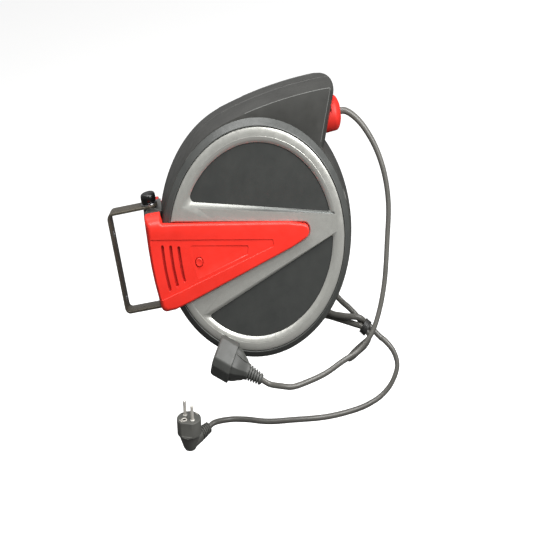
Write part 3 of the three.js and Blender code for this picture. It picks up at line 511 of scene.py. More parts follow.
def d_outline(radius, line, left_r, right_r):
    """Counter-clockwise D between an arc and the slanted line z = line(x), with rounded corners."""
    def meet(x0, x1):
        for _ in range(60):
            mid = (x0 + x1) / 2
            if math.hypot(mid, line(mid)) < radius:
                x0 = mid
            else:
                x1 = mid
        return x0, line(x0)
    left, right = meet(0, -radius), meet(0, radius)
    a0 = math.atan2(right[1], right[0]) + (2.4 * right_r + 1) / radius
    a1 = math.atan2(left[1], left[0]) - (2.4 * left_r + 1) / radius
    points = [(radius * math.cos(a), radius * math.sin(a), 0) for a in np.linspace(a0, a1, 80)]
    points.append((*left, left_r))
    straight = np.linspace(left[0] + 2.4 * left_r + 1, right[0] - 2.4 * right_r - 1, 40)
    points += [(x, line(x), 0) for x in straight]
    points.append((*right, right_r))
    return rounded(points, 8)


def window_outlines(end):
    """Matching outlines of a window at its foot and at the face of the frame; end is +1 for the upper one."""
    edge = lambda x: WINDOW_HALF - x * WINDOW_SLOPE
    narrow = lambda x, wide, slim: wide + (slim - wide) * min(1.0, max(0.0, (x + 80) / 190))
    if end > 0:
        face = d_outline(WINDOW_FACE_R, lambda x: edge(x) - narrow(x, 6.5, 2.4), 2.0, 0.8)
        return d_outline(WINDOW_FOOT_R, edge, 6.5, 1.2), face
    flip = np.array((1, -1))
    base = d_outline(WINDOW_FOOT_R, lambda x: edge(x) + narrow(x, 5.0, 2.0), 3.0, 1.2)
    return base[::-1] * flip, d_outline(WINDOW_FACE_R, edge, 1.5, 0.8)[::-1] * flip


def trim(name, side, *replaced):
    place = lambda x, z, f: h(x, z, side * f)
    profile = [(0, 46.2), (129.7, 46.2), (129.7, 47.3), (129.3, 47.9), (128.2, 48.5), (126.4, 49.0),
               (124.0, 49.35),
               (121.0, 49.5), (120.2, 49.5), (119.9, 49.36), (119.6, 49.5), (0, 49.5)]
    plate = turned(name, profile, SILVER, place, 200)
    for end in (1, -1):
        foot, face = window_outlines(end)
        blend = lambda share: foot + (face - foot) * share
        levels = [(foot, 45.0), (foot, 46.7), (blend(0.05), 46.9), (blend(0.30), 48.05), (blend(0.55), 48.85),
                  (blend(0.78), 49.25), (blend(0.97), 49.44), (blend(1.02), 49.56), (blend(1.02), 51.0)]
        # The upper window's slope gets the silver with a painted reflection darkening it along the sill.
        cut(plate, prism("window", levels, SILVER_SILL_REFLECTION if end > 0 else SILVER, place))
        # A near-black bead around the window's foot: a painted shadow line where panel meets trim.
        bead = [place(x, z, 46.15) for x, z in np.concatenate((foot, foot[:2]))]
        piece(swept(name + "_shadow_line", bead, 0.6, SHADOW_LINE, 8), "housing", "case_plastic")
    wedge = wedge_outline()
    levels = [(offset(wedge, 1.1), 45.0), (offset(wedge, 1.1), 48.2), (offset(wedge, 2.4), 49.3),
              (offset(wedge, 2.7), 49.6),
              (offset(wedge, 2.7), 51.0)]
    cut(plate, prism("pocket", levels, SILVER, place))
    return piece(plate, "housing", "silver_trim", *replaced, angle=22)


# ---------------------------------------------------------------- red side cover
WEDGE = math.tan(math.radians(11.2))
WEDGE_HALF = 24.6                        # half height of the wedge at the drum axis
TIP_X, TIP_R = 69.5, 8.5
COVER_EDGE = 2.6                         # rounding along the wedge
COVER_BACK, COVER_FACE = 28.6, 56.0
BUTTON_X, BUTTON_Z = -88.5, -3.0


def wedge_outline():
    tip = [(TIP_X + TIP_R * math.cos(a), TIP_R * math.sin(a), 0)
           for a in np.linspace(-math.pi / 2 + math.atan(WEDGE), math.pi / 2 - math.atan(WEDGE), 15)]
    return rounded(tip + [(-131.0, WEDGE_HALF + 131.0 * WEDGE, 0), (-131.0, -WEDGE_HALF - 131.0 * WEDGE, 0)])


def cover_outlines():
    """Matching outlines of the cover's sides and its front face, and how deep the edge rounding reaches."""
    a0 = math.pi / 2 - math.atan(WEDGE)
    lift = COVER_EDGE / math.cos(math.atan(WEDGE))
    edge = lambda x: WEDGE_HALF - x * WEDGE
    pairs = []
    for a in np.linspace(-a0, a0, 17):
        pairs.append((TIP_X + TIP_R * math.cos(a), TIP_R * math.sin(a), 0,
                      TIP_X + (TIP_R - COVER_EDGE) * math.cos(a), (TIP_R - COVER_EDGE) * math.sin(a), 0,
                      COVER_EDGE))
    for x in np.linspace(50, -112, 24):
        pairs.append((x, edge(x), 0, x, edge(x) - lift, 0, COVER_EDGE))
    pairs += [
        (-122.0, edge(-122), 0, -122.0, edge(-122) - 3.0, 0, 3.2),
        (-132.6, edge(-132.6), 2.2, -133.4, 47.6, 1.2, 5.0),
        (-133.6, 59.4, 1.6, -138.0, 48.9, 1.0, 20.0), (-145.0, 60.3, 0, -144.5, 50.2, 0, 21.0),
        (-157.2, 60.8, 4.0, -151.2, 51.0, 3.0, 20.0), (-158.1, 46, 0, -151.9, 41, 0, 10.0),
        (-159.2, 25, 0, -152.7, 23, 0, 8.0),
        (-159.6, 5, 0, -153.0, 4, 0, 8.0), (-158.9, -15, 0, -152.3, -14, 0, 8.0),
        (-157.3, -32, 0, -150.8, -30, 0, 8.0),
        (-155.4, -51.6, 8.0, -148.9, -45.6, 6.0, 8.0), (-136.0, -51.6, 4.0, -134.5, -47.0, 2.0, 6.0),
        (-124.0, -edge(-124), 0, -124.0, -edge(-124) + 3.0, 0, 3.4),
    ]
    for x in np.linspace(-112, 50, 24):
        pairs.append((x, -edge(x), 0, x, -edge(x) + lift, 0, COVER_EDGE))
    outer = rounded([p[0:3] for p in pairs], 8)
    inner = rounded([p[3:6] for p in pairs], 8)
    depth = np.concatenate([[p[6]] * (9 if p[2] > 0 else 1) for p in pairs])
    for _ in range(3):
        depth = (np.roll(depth, 1) + 2 * depth + np.roll(depth, -1)) / 4
    return outer, inner, depth


def side_cover(name, side, *replaced):
    place = lambda x, z, f: h(x, z, side * f)
    outer, inner, depth = cover_outlines()
    rows = [[place(x, z, COVER_BACK) for x, z in outer], [place(x, z, 32.0) for x, z in outer]]
    for t in np.linspace(1.0, 0.0, 8):
        line = outer + (inner - outer) * (1 - math.sin(t * math.pi / 2))
        drop = 1 - math.cos(t * math.pi / 2)
        rows.append([place(x, z, COVER_FACE - d * drop) for (x, z), d in zip(line, depth)])
    cover = make(name, *grid(rows, around=True, caps=(True, True)), RED)
    # Cut faces of the slots and the button seat take the darker red: painted recess shade.
    cover.data.materials.append(RED_RECESS_SHADE)
    drum = turned("drum_space", [(0, -5), (141.6, -5), (141.6, 47.9), (0, 47.9)], RED, place, 200)
    cut(cover, drum)
    panel = rounded([(-172.0, 40.5, 1.0), (-172.0, -38.8, 1.0), (23.4, -6.9, 1.2), (23.2, 0.6, 1.2)], 6)
    levels = [(panel, 55.1), (offset(panel, 0.35), 55.75), (offset(panel, 0.7), 56.02),
              (offset(panel, 0.7), 58.0)]
    cut(cover, prism("recess", levels, RED, place))
    badge = rounded([(-98.0, 18.1, 2.0), (-93.8, -21.3, 2.0), (-16.6, -8.6, 1.2), (-13.9, 0.8, 1.2)], 6)
    sloped = lambda x, z, f: place(x, z, f if f > 54.6 else 54.88 - 0.75 * min(1.0, max(0.0, (x + 98) / 30)))
    levels = [(badge, 54.4), (offset(badge, 0.7), 54.93), (offset(badge, 0.7), 58.0)]
    cut(cover, prism("badge_recess", levels, RED, sloped))
    for x, half in ((-139.5, 25.3), (-127.5, 22.7), (-115.6, 19.3)):
        bow, wide = 230.0, 1.9
        swing = math.degrees(math.asin(half / bow))
        end = x + bow - bow * math.cos(math.radians(swing))
        slot = arc(x + bow, 0, bow + wide, 180 - swing, 180 + swing, 12)
        slot += arc(end, -half, wide, 180 + swing, 360 + swing, 8)[1:-1]
        slot += arc(x + bow, 0, bow - wide, 180 + swing, 180 - swing, 12)
        slot += arc(end, half, wide, -swing, 180 - swing, 8)[1:-1]
        slot = np.array(slot)
        levels = [(slot, 51.4), (slot, 54.6), (offset(slot, 0.35), 54.95), (offset(slot, 0.35), 58.0)]
        cut(cover, prism("slot", levels, RED_RECESS_SHADE, place))
    if side > 0:
        ring = lambda x, z, f: place(x + BUTTON_X, z + BUTTON_Z, f)
        seat = [(0, 46.3), (5.7, 46.3), (5.7, 54.0), (6.3, 54.75), (6.3, 58.0), (0, 58.0)]
        cut(cover, turned("button_seat", seat, RED_RECESS_SHADE, ring, 48))
    return piece(cover, "housing", "red_plastic", *replaced, angle=24)


def reset_button():
    profile = [(0, 50.2), (5.05, 50.2), (5.1, 54.6), (4.95, 55.4), (4.5, 55.75), (3.6, 55.8), (3.1, 55.6),
               (2.2, 55.45), (0, 55.4)]
    button = turned("reset_button_cap", profile, RED, lambda x, z, f: h(x + BUTTON_X, z + BUTTON_Z, f), 48)
    return piece(button, "button", "red_plastic", "reset_button", angle=30)


# ---------------------------------------------------------------- pivot block, bracket and pin
def pivot_at(x, y, z):
    """Point beside the swivel axis, in mm."""
    return Vector(((PIVOT[0] + x) * MM, (PIVOT[1] + y) * MM, z * MM))


def pivot_block():
    corners = [(-158.0, -52.5, 5.0), (-118.0, -52.5, 1.0), (-118.0, 59.5, 1.0), (-158.0, 59.5, 5.0)]
    outline = rounded(corners, 8)
    block = prism("pivot_block_shell", [(outline, -28.2), (outline, 28.2)], CASE)
    drum = turned("drum_space", [(0, -40), (143.3, -40), (143.3, 40), (0, 40)], CASE, h, 200)
    cut(block, drum)
    # One stepped cutter: cutting the bore and its two bush seats apart leaves a face across the bore.
    steps = [(0, -80), (6.8, -80), (6.8, -48.5), (3.8, -48.5), (3.8, 55.5), (6.8, 55.5), (6.8, 80), (0, 80)]
    cut(block, turned("stepped_bore", steps, CASE, pivot_at, 40))
    bevel(block, 1.6, 4, 40)
    return piece(block, "housing", "case_plastic", "pivot_block", angle=40)


def bracket():
    """Bent steel strip in the wall plate's own frame: u away from the wall, v across, w up."""
    reach = math.hypot(*PIVOT)
    turn = Matrix.Rotation(math.atan2(PIVOT[1], PIVOT[0]), 3, "Z")
    place = lambda u, v, w: turn @ (Vector((u, v, w)) * MM)
    t, bend, top, bottom, half = 3.0, 8.0, 64.2, -57.0, 12.0
    centre = [(reach + 12, top - t / 2)]
    centre += arc(bend, top - bend, bend - t / 2, 90, 180, 10)
    centre += arc(bend, bottom + bend, bend - t / 2, 180, 270, 10)
    centre += [(reach + 12, bottom + t / 2)]
    lengths = [math.dist(a, b) for a, b in zip(centre, centre[1:])]
    dense = [centre[0]]
    for (a, b), length in zip(zip(centre, centre[1:]), lengths):
        steps = max(1, int(length / 3.0))
        dense += [(a[0] + (b[0] - a[0]) * k / steps, a[1] + (b[1] - a[1]) * k / steps)
                  for k in range(1, steps + 1)]
    dense = np.array(dense)
    direction = np.gradient(dense, axis=0)
    direction /= np.linalg.norm(direction, axis=1)[:, None]
    normal = np.stack((direction[:, 1], -direction[:, 0]), axis=1)
    section = rounded([(-half, -t / 2, 0.7), (half, -t / 2, 0.7), (half, t / 2, 0.7), (-half, t / 2, 0.7)], 3)
    rows = []
    for p, n in zip(dense, normal):
        past = max(0.0, p[0] - reach)
        squeeze = math.sqrt(max(0.02, 1 - (past / 12.02) ** 2)) if past > 0 else 1.0
        rows.append([place(p[0] + n[0] * b, a * squeeze, p[1] + n[1] * b) for a, b in section])

    def tip_rows(w):
        """Finer rows for a rounded end."""
        out = []
        for past in (11.95, 11.8, 11.35, 10.6, 9.4, 7.6, 5.4, 2.7):
            squeeze = math.sqrt(1 - (past / 12.0) ** 2)
            out.append([place(reach + past, a * squeeze, w + n * b) for a, b in section])
        return out
    n = normal[0][1]
    head = tip_rows(top - t / 2)
    n = normal[-1][1]
    tail = tip_rows(bottom + t / 2)[::-1]
    inner = [row for row, p in zip(rows, dense) if p[0] <= reach]
    strip = make("wall_bracket_strip", *grid(head + inner + tail, around=True, caps=(True, True)),
                 STEEL_BLACK)
    cut(strip, turned("pin_hole", [(0, -90), (4.0, -90), (4.0, 90), (0, 90)], STEEL_BLACK, pivot_at, 32))
    for w in (38.0, -40.0):
        hole = lambda a, b, u: place(u, a, w + b)
        cut(strip, turned("wall_hole", [(0, -3), (3.5, -3), (3.5, 2.6), (3.9, 3.05), (3.9, 8), (0, 8)], STEEL,
                          hole, 32))
    return piece(strip, "bracket", "bracket_steel", "wall_bracket", angle=35)


def pin_parts():
    profile = [(0, 66.0), (9.8, 66.0), (10.5, 66.4), (10.8, 67.2), (11.0, 69.0), (11.0, 72.0), (10.8, 74.0),
               (10.2, 75.4),
               (9.0, 76.25), (7.0, 76.6), (3.0, 76.7), (0, 76.65)]
    knob = turned("pin_knob_cap", profile, KNOB, pivot_at, 72)
    piece(knob, "pin", "knob_black", "pin_knob", angle=40)
    profile = [(4.0, 64.45), (11.6, 64.45), (11.95, 64.7), (12.0, 65.1), (11.8, 65.45), (11.3, 65.6),
               (4.0, 65.6)]
    washer = turned("pin_washer_ring", profile, STEEL, pivot_at, 72, closed=True)
    piece(washer, "pin", "bright_steel", "pin_washer", angle=40)
    profile = [(0, -60.0), (2.2, -60.0), (3.1, -59.6), (3.5, -58.8), (3.5, 65.9), (0, 65.9)]
    shaft = turned("swivel_pin_shaft", profile, STEEL, pivot_at, 48)
    piece(shaft, "pin", "bright_steel", "swivel_pin", angle=30)


# ---------------------------------------------------------------- cable outlet
def cable_outlet():
    along = lambda y, z, x: h(x, 108.0 + z, -y)
    profile = [(4.9, 112.0), (18.2, 112.0), (19.2, 114.0), (19.3, 137.0), (19.0, 138.8), (18.2, 140.4),
               (16.6, 142.2),
               (14.0, 143.8), (11.0, 145.1), (8.6, 145.9), (7.0, 146.3), (6.0, 146.1), (5.3, 145.3),
               (4.9, 143.5)]
    # The outlet is drawn in the darker red copy, a painted shade.
    spout = turned("cable_outlet_spout", profile, OUTLET_RED_SHADED, along, 96, closed=True)
    slot = rounded([(131.5, 5.5, 0.8), (133.6, 5.5, 0.8), (133.6, 12.5, 0.8), (131.5, 12.5, 0.8)], 4)
    for side in (1, -1):
        reach = lambda x, z, y: along(-side * y, z, x)
        # The outlet's slot walls get the darker red as painted shade.
        cut(spout, prism("outlet_slot", [(slot, 13.2), (slot, 30.0)], RED_RECESS_SHADE, reach))
    centre = MOUTH_TOP + MOUTH_DOWN * 33.0 - MOUTH_OUT * 8.0
    section = rounded([(-22.0, -30.8, 3.0), (22.0, -30.8, 3.0), (22.0, 30.8, 3.0), (-22.0, 30.8, 3.0)], 5)
    def place(a, b, c):
        x, z = centre + MOUTH_DOWN * a + MOUTH_OUT * c
        return h(x, z, b)
    flange = prism("flange", [(section, -1.5), (section, 0.9), (offset(section, -0.6), 1.5)], OUTLET_RED_SHADED,
                   place)
    cut(flange, turned("hole", [(0, 80), (17.5, 80), (17.5, 170), (0, 170)], OUTLET_RED_SHADED, along, 72))
    whole = merged("cable_outlet_red", [spout, flange])
    return piece(whole, "housing", "red_plastic", "cable_outlet", angle=35)


# ---------------------------------------------------------------- cords
CORD_R = 3.75
COUPLER_CENTRE = Vector((137.0, -77.0, -118.0))
COUPLER_DROP, COUPLER_LEAN, COUPLER_TURN = math.radians(33.5), math.radians(12.9), math.radians(37.0)
COUPLER_AXIS = Vector((math.cos(COUPLER_LEAN) * math.cos(COUPLER_DROP), -math.sin(COUPLER_LEAN),
                       -math.cos(COUPLER_LEAN) * math.sin(COUPLER_DROP)))
COUPLER_FRONT = (Vector((0, -1, 0)) + COUPLER_AXIS * COUPLER_AXIS.y).normalized()
COUPLER_A = (COUPLER_FRONT * math.cos(COUPLER_TURN)
             - COUPLER_AXIS.cross(COUPLER_FRONT) * math.sin(COUPLER_TURN))
COUPLER_B = COUPLER_AXIS.cross(COUPLER_A)


def coupler_at(a, b, along):
    """Coupler point: a and b across its flats, along from the block's middle to the cable."""
    return reel(*(COUPLER_CENTRE + COUPLER_AXIS * along + COUPLER_A * a + COUPLER_B * b))


def output_cable():
    points = [(232, 0, 108), (292, 0, 108), (360, 0, 108), (368, -1, 105.5), (384, -2, 91), (401, -5, 62),
              (410, -10, 30),
              (411, -15, -4), (403, -21, -44), (390, -31, -94), (374, -38, -129), (361, -43, -145.7),
              (339.9, -48, -159.4),
              (312.9, -55, -165.7), (284.9, -62, -172.8), (257.9, -69, -175.1), (231.9, -77, -174.2),
              (214, -83, -167.5)]
    points += [COUPLER_CENTRE + COUPLER_AXIS * d for d in (74, 66, 58)]
    cable = swept("output_cable_cord", smooth_path([reel(*p) for p in points], 12), CORD_R, RUBBER)
    return piece(cable, "housing", "cord_rubber", "output_cable", angle=50)


PIN_HALF_PITCH = 9.5
PLUG_CENTRE = Vector((66.0, -52.0, -187.0))
PLUG_UP = Vector((0.152, -0.149, 0.977)).normalized()
PLUG_ALONG = (Vector((0.825, 0.563, -0.042)) + PLUG_UP * 0.0005).normalized()
PLUG_ACROSS = PLUG_ALONG.cross(PLUG_UP).normalized()
PLUG_ARM_Z, PLUG_ARM_RISE = -35.0, math.radians(13.8)


def plug_at(across, along, up):
    return reel(*(PLUG_CENTRE + PLUG_ACROSS * across + PLUG_ALONG * along + PLUG_UP * up))


def plug_arm_at(across, lift, along):
    """Point of the plug's inclined cable arm: along its axis from the middle of the plug."""
    c, s = math.cos(PLUG_ARM_RISE), math.sin(PLUG_ARM_RISE)
    return plug_at(across, along * c - lift * s, PLUG_ARM_Z + along * s + lift * c)


TIE_CENTRE = Vector((357.0, 30.0, -157.0))
TIE_AXIS = Vector((0.69, -0.2, -0.69)).normalized()
TIE_SIDE = Vector((0, 1, 0)).cross(TIE_AXIS).normalized()
TIE_FACE = TIE_AXIS.cross(TIE_SIDE)


def strand(number, along):
    """Centre of one of the three strands that twist side by side into the tie."""
    before = max(0.0, -along - 6)
    r = 4.7 + 0.022 * before * before
    a = math.radians((60, 300, 180)[number] + 5 * min(before, 12))
    return tuple(TIE_CENTRE + TIE_SIDE * (r * math.cos(a)) + TIE_FACE * (r * math.sin(a)) + TIE_AXIS * along)


def supply_cord():
    points = [(282, 50, -62), (282, 60, -62), (282, 67, -62), (287, 77, -69), (300, 76, -87),
              (322.8, 60, -122),
              (336.5, 49, -134)] + [strand(0, d) for d in (-14, -6, 0, 6)]
    points += [(362.1, 33, -168.2), (359.8, 33.8, -173.3), (352, 35.5, -177.8), (341, 36.5, -183),
               (332, 35.5, -187.5),
               (327.3, 33, -189.8), (325.6, 29, -190.6), (327.3, 25, -189.8), (332, 22.5, -187.5),
               (341, 21.5, -183),
               (352, 21.7, -177.8), (358.7, 23, -172.2), (361, 24.2, -167.2)]
    points += [strand(1, d) for d in (6, 0, -6, -14)]
    points += [(323, 43.5, -145), (302.8, 54, -138.5), (284, 62, -134), (269, 67, -125), (261, 67, -113),
               (267, 62, -103),
               (280, 58.5, -105), (293, 52.5, -117), (306.2, 42.5, -131.5), (327, 35, -138)]
    points += [strand(2, d) for d in (-14, -6, 0, 6)]
    points += [(377, 25, -172), (385, 22, -179), (395, 18, -193), (398, 14, -210), (387, 9, -228),
               (369, 5, -240),
               (344, -1, -246), (317, -6, -247), (277, -13, -244), (225, -18, -235.2), (186, -15, -230),
               (150, -9, -221.4), (127, -9.5, -216.5)]
    path = [reel(*p) for p in points] + [plug_arm_at(0, 0, 49), plug_arm_at(0, 0, 39)]
    cord = swept("supply_cord_flex", smooth_path(path, 10), CORD_R, RUBBER)
    piece(cord, "housing", "cord_rubber", "supply_cord", angle=50)
    profile = [(8.75, -5.0), (9.6, -5.0), (10.0, -4.5), (10.05, -1.8), (9.7, -1.5), (9.7, -1.2),
               (10.05, -0.9), (10.05, 0.9),
               (9.7, 1.2), (9.7, 1.5), (10.05, 1.8), (10.0, 4.5), (9.6, 5.0), (8.75, 5.0)]
    around = lambda a, b, w: reel(*(TIE_CENTRE + TIE_SIDE * a + TIE_FACE * b + TIE_AXIS * w))
    tie = turned("cord_tie_wrap", profile, TIE, around, 48, closed=True)
    piece(tie, "housing", "plug_rubber", "cord_tie", angle=40)


def coupler():
    """Octagonal socket block, tapering hood with arched grip pads, then the ribbed boot."""
    octagon = [(-22.5, -14), (-14, -22.5), (14, -22.5), (22.5, -14), (22.5, 14), (14, 22.5), (-14, 22.5),
               (-22.5, 14)]
    ring = rounded([(a, b, 4.8) for a, b in octagon], 6)
    angles = np.arctan2(ring[:, 1], ring[:, 0])
    circle = np.stack((np.cos(angles), np.sin(angles)), axis=1)
    levels = [(offset(ring, -3.4), -14.5), (offset(ring, -2.2), -14.1), (offset(ring, -1.0), -12.9),
              (offset(ring, -0.3), -11.2), (ring, -9.0), (ring, 13.2),
              (offset(ring, -0.4), 14.1),
              (offset(ring, -1.3), 14.5), (offset(ring, -3.2), 14.5), (offset(ring, -3.5), 15.2)]
    hood = lambda share: offset(ring, -3.5) * (1 - share) + circle * 10.4 * share
    levels += [(hood(share), z) for share, z in ((0.10, 19.0), (0.28, 23.5), (0.52, 28.0), (0.76, 32.5),
                                                 (0.93, 36.0), (1.0, 38.6))]
    body = prism("coupler_body_shell", levels, COUPLER, coupler_at)
    cut(body, turned("recess", [(0, -17.0), (19.5, -17.0), (19.5, 3.4), (0, 3.4)], COUPLER, coupler_at, 56))
    reach = lambda z: float(np.interp(z, (14.5, 19.0, 23.5, 28.0, 32.5, 36.0, 38.6),
                                      (19.6, 18.7, 17.0, 15.0, 12.7, 11.0, 10.3)))
    pads = []
    for facing in (-0.785, 2.356):
        arch = rounded([(-10.5, 15.5, 1.0), (10.5, 15.5, 1.0), (8.5, 25.0, 6.0), (4.0, 34.5, 3.5),
                        (-4.0, 34.5, 3.5),
                        (-8.5, 25.0, 6.0)], 6)
        middle = np.array((0.0, 23.0))
        def place(t, z, lift, facing=facing):
            r = reach(z)
            return coupler_at((r + lift) * math.cos(facing + t / r), (r + lift) * math.sin(facing + t / r), z)
        rings = [(middle + (arch - middle) * k, lift) for k, lift in ((1.0, -1.5), (1.0, 0.7), (0.96, 1.25),
                                                                      (0.86, 1.3),
                                                                       (0.82, 0.95), (0.4, 0.95))]
        pads.append(prism("pad", rings, COUPLER, place))
    whole = merged("coupler_body_moulded", [body] + pads)
    piece(whole, "housing", "cord_rubber", "coupler_body", angle=30)
    profile = [(4.0, 38.8), (10.2, 38.8), (10.4, 39.3), (10.2, 40.2)]
    for i in range(5):
        r, z = 9.9 - i * 0.55, 41.4 + i * 4.1
        profile += [(r - 2.1, z - 0.9), (r - 2.1, z - 0.2), (r - 0.2, z + 0.1), (r, z + 0.6),
                    (r - 0.15, z + 2.2), (r - 0.4, z + 2.5)]
    profile += [(6.2, 61.8), (5.7, 62.4), (4.0, 62.4)]
    boot = turned("coupler_boot_ribbed", profile, COUPLER, coupler_at, 40, closed=True)
    piece(boot, "housing", "cord_rubber", "coupler_boot", angle=30)


def plug():
    """Angled earthed plug: round cup with a flat front panel, tapering foot and a ribbed cable arm."""
    angles = np.linspace(0, 2 * math.pi, 97)[:-1]
    circle = np.stack((np.cos(angles), np.sin(angles)), axis=1)
    normal = np.array((math.cos(math.radians(-52)), math.sin(math.radians(-52))))

    def flattened(radius, flat):
        line = circle * radius
        return line - normal * np.maximum(line @ normal - flat, 0)[:, None]

    levels = [(circle * 2.0, -44.6), (circle * 5.5, -44.2), (circle * 8.4, -42.6), (circle * 10.4, -39.5),
              (circle * 12.2, -34.5),
              (circle * 14.4, -28.5), (circle * 16.6, -22.8), (circle * 17.4, -21.4), (circle * 18.6, -20.8),
              (circle * 19.0, -20.4), (flattened(19.0, 18.3), -20.1), (flattened(19.0, 18.3), -18.7),
              (flattened(19.0, 17.0), -18.2),
              (flattened(19.0, 16.7), -17.6), (flattened(19.0, 16.7), -1.3),
              (flattened(18.7, 16.4), -0.5), (flattened(18.1, 15.8), -0.08), (flattened(17.2, 14.9), 0.0)]
    body = prism("plug_body_shell", levels, PLUG_RUBBER, plug_at)
    for across in (-PIN_HALF_PITCH, PIN_HALF_PITCH):
        bore = lambda x, y, z: plug_at(x + across, y, z)
        cut(body, turned("pin_bore", [(0, -8), (2.7, -8), (2.7, 6), (0, 6)], PLUG_RUBBER, bore, 28))
    bore = lambda x, y, z: plug_at(x, y - 9.0, z)
    cut(body, turned("earth_bore", [(0, -9), (2.7, -9), (2.7, 6), (0, 6)], PLUG_RUBBER, bore, 28))
    profile = [(0, 0), (9.6, 0), (9.5, 10.0), (9.1, 21.0)]
    for i in range(5):
        r, y = 9.0 - i * 0.35, 22.5 + i * 3.4
        profile += [(r - 1.6, y), (r - 1.6, y + 0.7), (r - 0.2, y + 1.0), (r, y + 1.4), (r - 0.15, y + 2.3),
                    (r - 0.4, y + 2.6)]
    profile += [(6.6, 39.2), (5.4, 39.6), (0, 39.6)]
    arm = turned("plug_arm", profile, PLUG_RUBBER, plug_arm_at, 40)
    whole = merged("plug_body_moulded", [body, arm])
    piece(whole, "housing", "plug_rubber", "plug_body", angle=35)
    for name, across in (("left", -PIN_HALF_PITCH), ("right", PIN_HALF_PITCH)):
        at = lambda x, y, z: plug_at(x + across, y, z)
        profile = [(0, -7.6), (2.4, -7.6), (2.4, 17.6), (2.25, 18.6), (1.8, 19.4), (1.1, 19.85), (0, 20.0)]
        pin = turned("plug_pin_bar_" + name, profile, NICKEL, at, 32)
        piece(pin, "housing", "nickel", "plug_pin_" + name, angle=40)
        profile = [(2.45, 0.0), (3.5, 0.0), (3.4, 0.6), (3.1, 0.9), (2.45, 0.9)]
        collar = turned("plug_pin_collar_" + name, profile, COLLAR, at, 32, closed=True)
        piece(collar, "housing", "nickel")
    profile = [(2.75, -0.3), (4.7, -0.3), (4.7, 0.25), (4.3, 0.5), (3.1, 0.5), (2.75, 0.2)]
    earth = turned("plug_earth_ring", profile, NICKEL, bore, 32, closed=True)
    piece(earth, "housing", "nickel")


# ---------------------------------------------------------------- assembly
casing_half("casing_shell_front", 1, "casing_front")
casing_half("casing_shell_rear", -1, "casing_rear")
trim("trim_plate_front", 1, "trim_front")
trim("trim_plate_rear", -1, "trim_rear")
side_cover("red_cover_front", 1, "side_cover_front")
side_cover("red_cover_rear", -1, "side_cover_rear")
reset_button()
pivot_block()
bracket()
pin_parts()
cable_outlet()
output_cable()
supply_cord()
coupler()
plug()

KEPT = {
    "bright_steel": STEEL, "nickel": NICKEL, "brass": BRASS, "inner_plastic": DARK,
    "bearing_plastic": BEARING,
    "brush_carbon": CARBON, "cord_rubber": RUBBER, "plug_rubber": PLUG_RUBBER, "case_plastic": CASE,
    "red_plastic": RED,
    "silver_trim": SILVER, "bracket_steel": STEEL_BLACK, "knob_black": KNOB,
}
for part in frame["record"]["subparts"]:
    node = nodes[part["node"]]
    for slot in node.material_slots:
        slot.material = KEPT[part["material_slot"]]
    node.data.shade_smooth()
    node.data.set_sharp_from_angle(angle=math.radians(30))

# ---------------------------------------------------------------- stage, light and camera
floor_material = Nodes("pale floor")
seen = floor_material.tree.nodes.new("ShaderNodeLightPath").outputs["Is Camera Ray"]
pale = floor_material.mix(floor_material.noise(0.004, 2.0), (0.93, 0.93, 0.925), (0.955, 0.955, 0.95))
floor_material.set(Base_Color=floor_material.mix(seen, (0.10, 0.10, 0.10), pale), Roughness=0.9,
                   Emission_Color=floor_material.mix(seen, (0.0, 0.0, 0.0), (0.55, 0.55, 0.55)),
                   Emission_Strength=1.0)
floor = make("floor", [(-9, -9, -0.33), (9, -9, -0.33), (9, 9, -0.33), (-9, 9, -0.33)], [(0, 1, 2, 3)],
             floor_material.material)

scene = bpy.context.scene
world = bpy.data.worlds.new("studio")
world.use_nodes = True
sky = world.node_tree.nodes["Background"]
path = world.node_tree.nodes.new("ShaderNodeLightPath")
strength = world.node_tree.nodes.new("ShaderNodeMapRange")
strength.inputs["To Min"].default_value = 0.30
strength.inputs["To Max"].default_value = 1.0
world.node_tree.links.new(path.outputs["Is Camera Ray"], strength.inputs["Value"])
world.node_tree.links.new(strength.outputs["Result"], sky.inputs["Strength"])
sky.inputs["Color"].default_value = (1, 1, 1, 1)
scene.world = world
scene.view_settings.view_transform = "Standard"


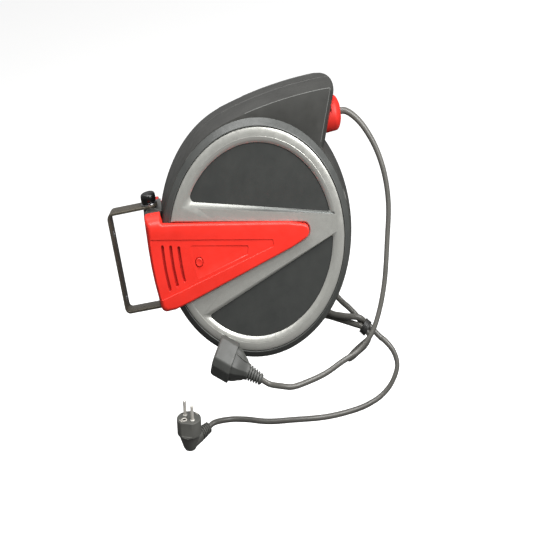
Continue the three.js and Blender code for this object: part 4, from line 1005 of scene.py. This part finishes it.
def area(name, place, aim, size, power):
    light = bpy.data.lights.new(name, "AREA")
    light.shape = "RECTANGLE"
    light.size, light.size_y = size
    light.energy = power
    obj = bpy.data.objects.new(name, light)
    obj.location = place
    obj.rotation_euler = (Vector(aim) - Vector(place)).to_track_quat("-Z", "Y").to_euler()
    scene.collection.objects.link(obj)


area("top_softbox", (0.3, -0.85, 2.0), (0.2, 0.0, 0.0), (1.5, 0.9), 41.0)
area("front_softbox", (0.98, -0.85, 0.62), (0.22, 0.0, 0.0), (0.7, 0.7), 20.0)
area("back_softbox", (-0.3, 1.3, 2.3), (0.2, 0.0, 0.0), (1.0, 1.0), 9.0)

# A view camera: it stands square to the reel and looks down on it by SIGHT, while its picture plane is
# tilted further, and a lens rise brings the reel back into the frame. This gives the slender oval of the
# reference view.
SIGHT = math.radians(15.0)
STAND_OFF = 32 * 130.0                   # 32 radii of the trim ring, mm
AIM_FORWARD = 22.0                       # the camera is set up on a point this far behind the mid-plane, mm
LENS_MM, LENS_SIDE, LENS_RISE = 141.4424, 0.010469, 3.3437
azimuth, elevation, roll = math.radians(12.958), math.radians(54.773), math.radians(-19.465)
back = Vector((math.sin(azimuth) * math.cos(elevation), -math.cos(azimuth) * math.cos(elevation),
               math.sin(elevation)))
right = Vector((math.cos(azimuth), math.sin(azimuth), 0))
up = back.cross(right)
if up.z < 0:
    up = -up
side = right * math.cos(roll) + up * math.sin(roll)
top = -right * math.sin(roll) + up * math.cos(roll)
camera_data = bpy.data.cameras.new("camera")
camera_data.lens = LENS_MM / 36.0 * camera_data.sensor_width
camera_data.shift_x = LENS_SIDE
camera_data.clip_end = 50
camera = bpy.data.objects.new("camera", camera_data)
camera.matrix_world = Matrix((
    (side.x, top.x, back.x, DRUM_X * MM),
    (side.y, top.y, back.y, (MID_Y + AIM_FORWARD - STAND_OFF * math.cos(SIGHT)) * MM),
    (side.z, top.z, back.z, STAND_OFF * math.sin(SIGHT) * MM),
    (0, 0, 0, 1)))
scene.collection.objects.link(camera)

# The rise belongs to this view alone.
rise = camera_data.driver_add("shift_y")
rise.driver.type = "SUM"
mode = rise.driver.variables.new()
mode.type = "SINGLE_PROP"
mode.targets[0].id = camera
mode.targets[0].data_path = "rotation_mode"
rise.modifiers[0].coefficients = (0.0, LENS_RISE)
scene.camera = camera
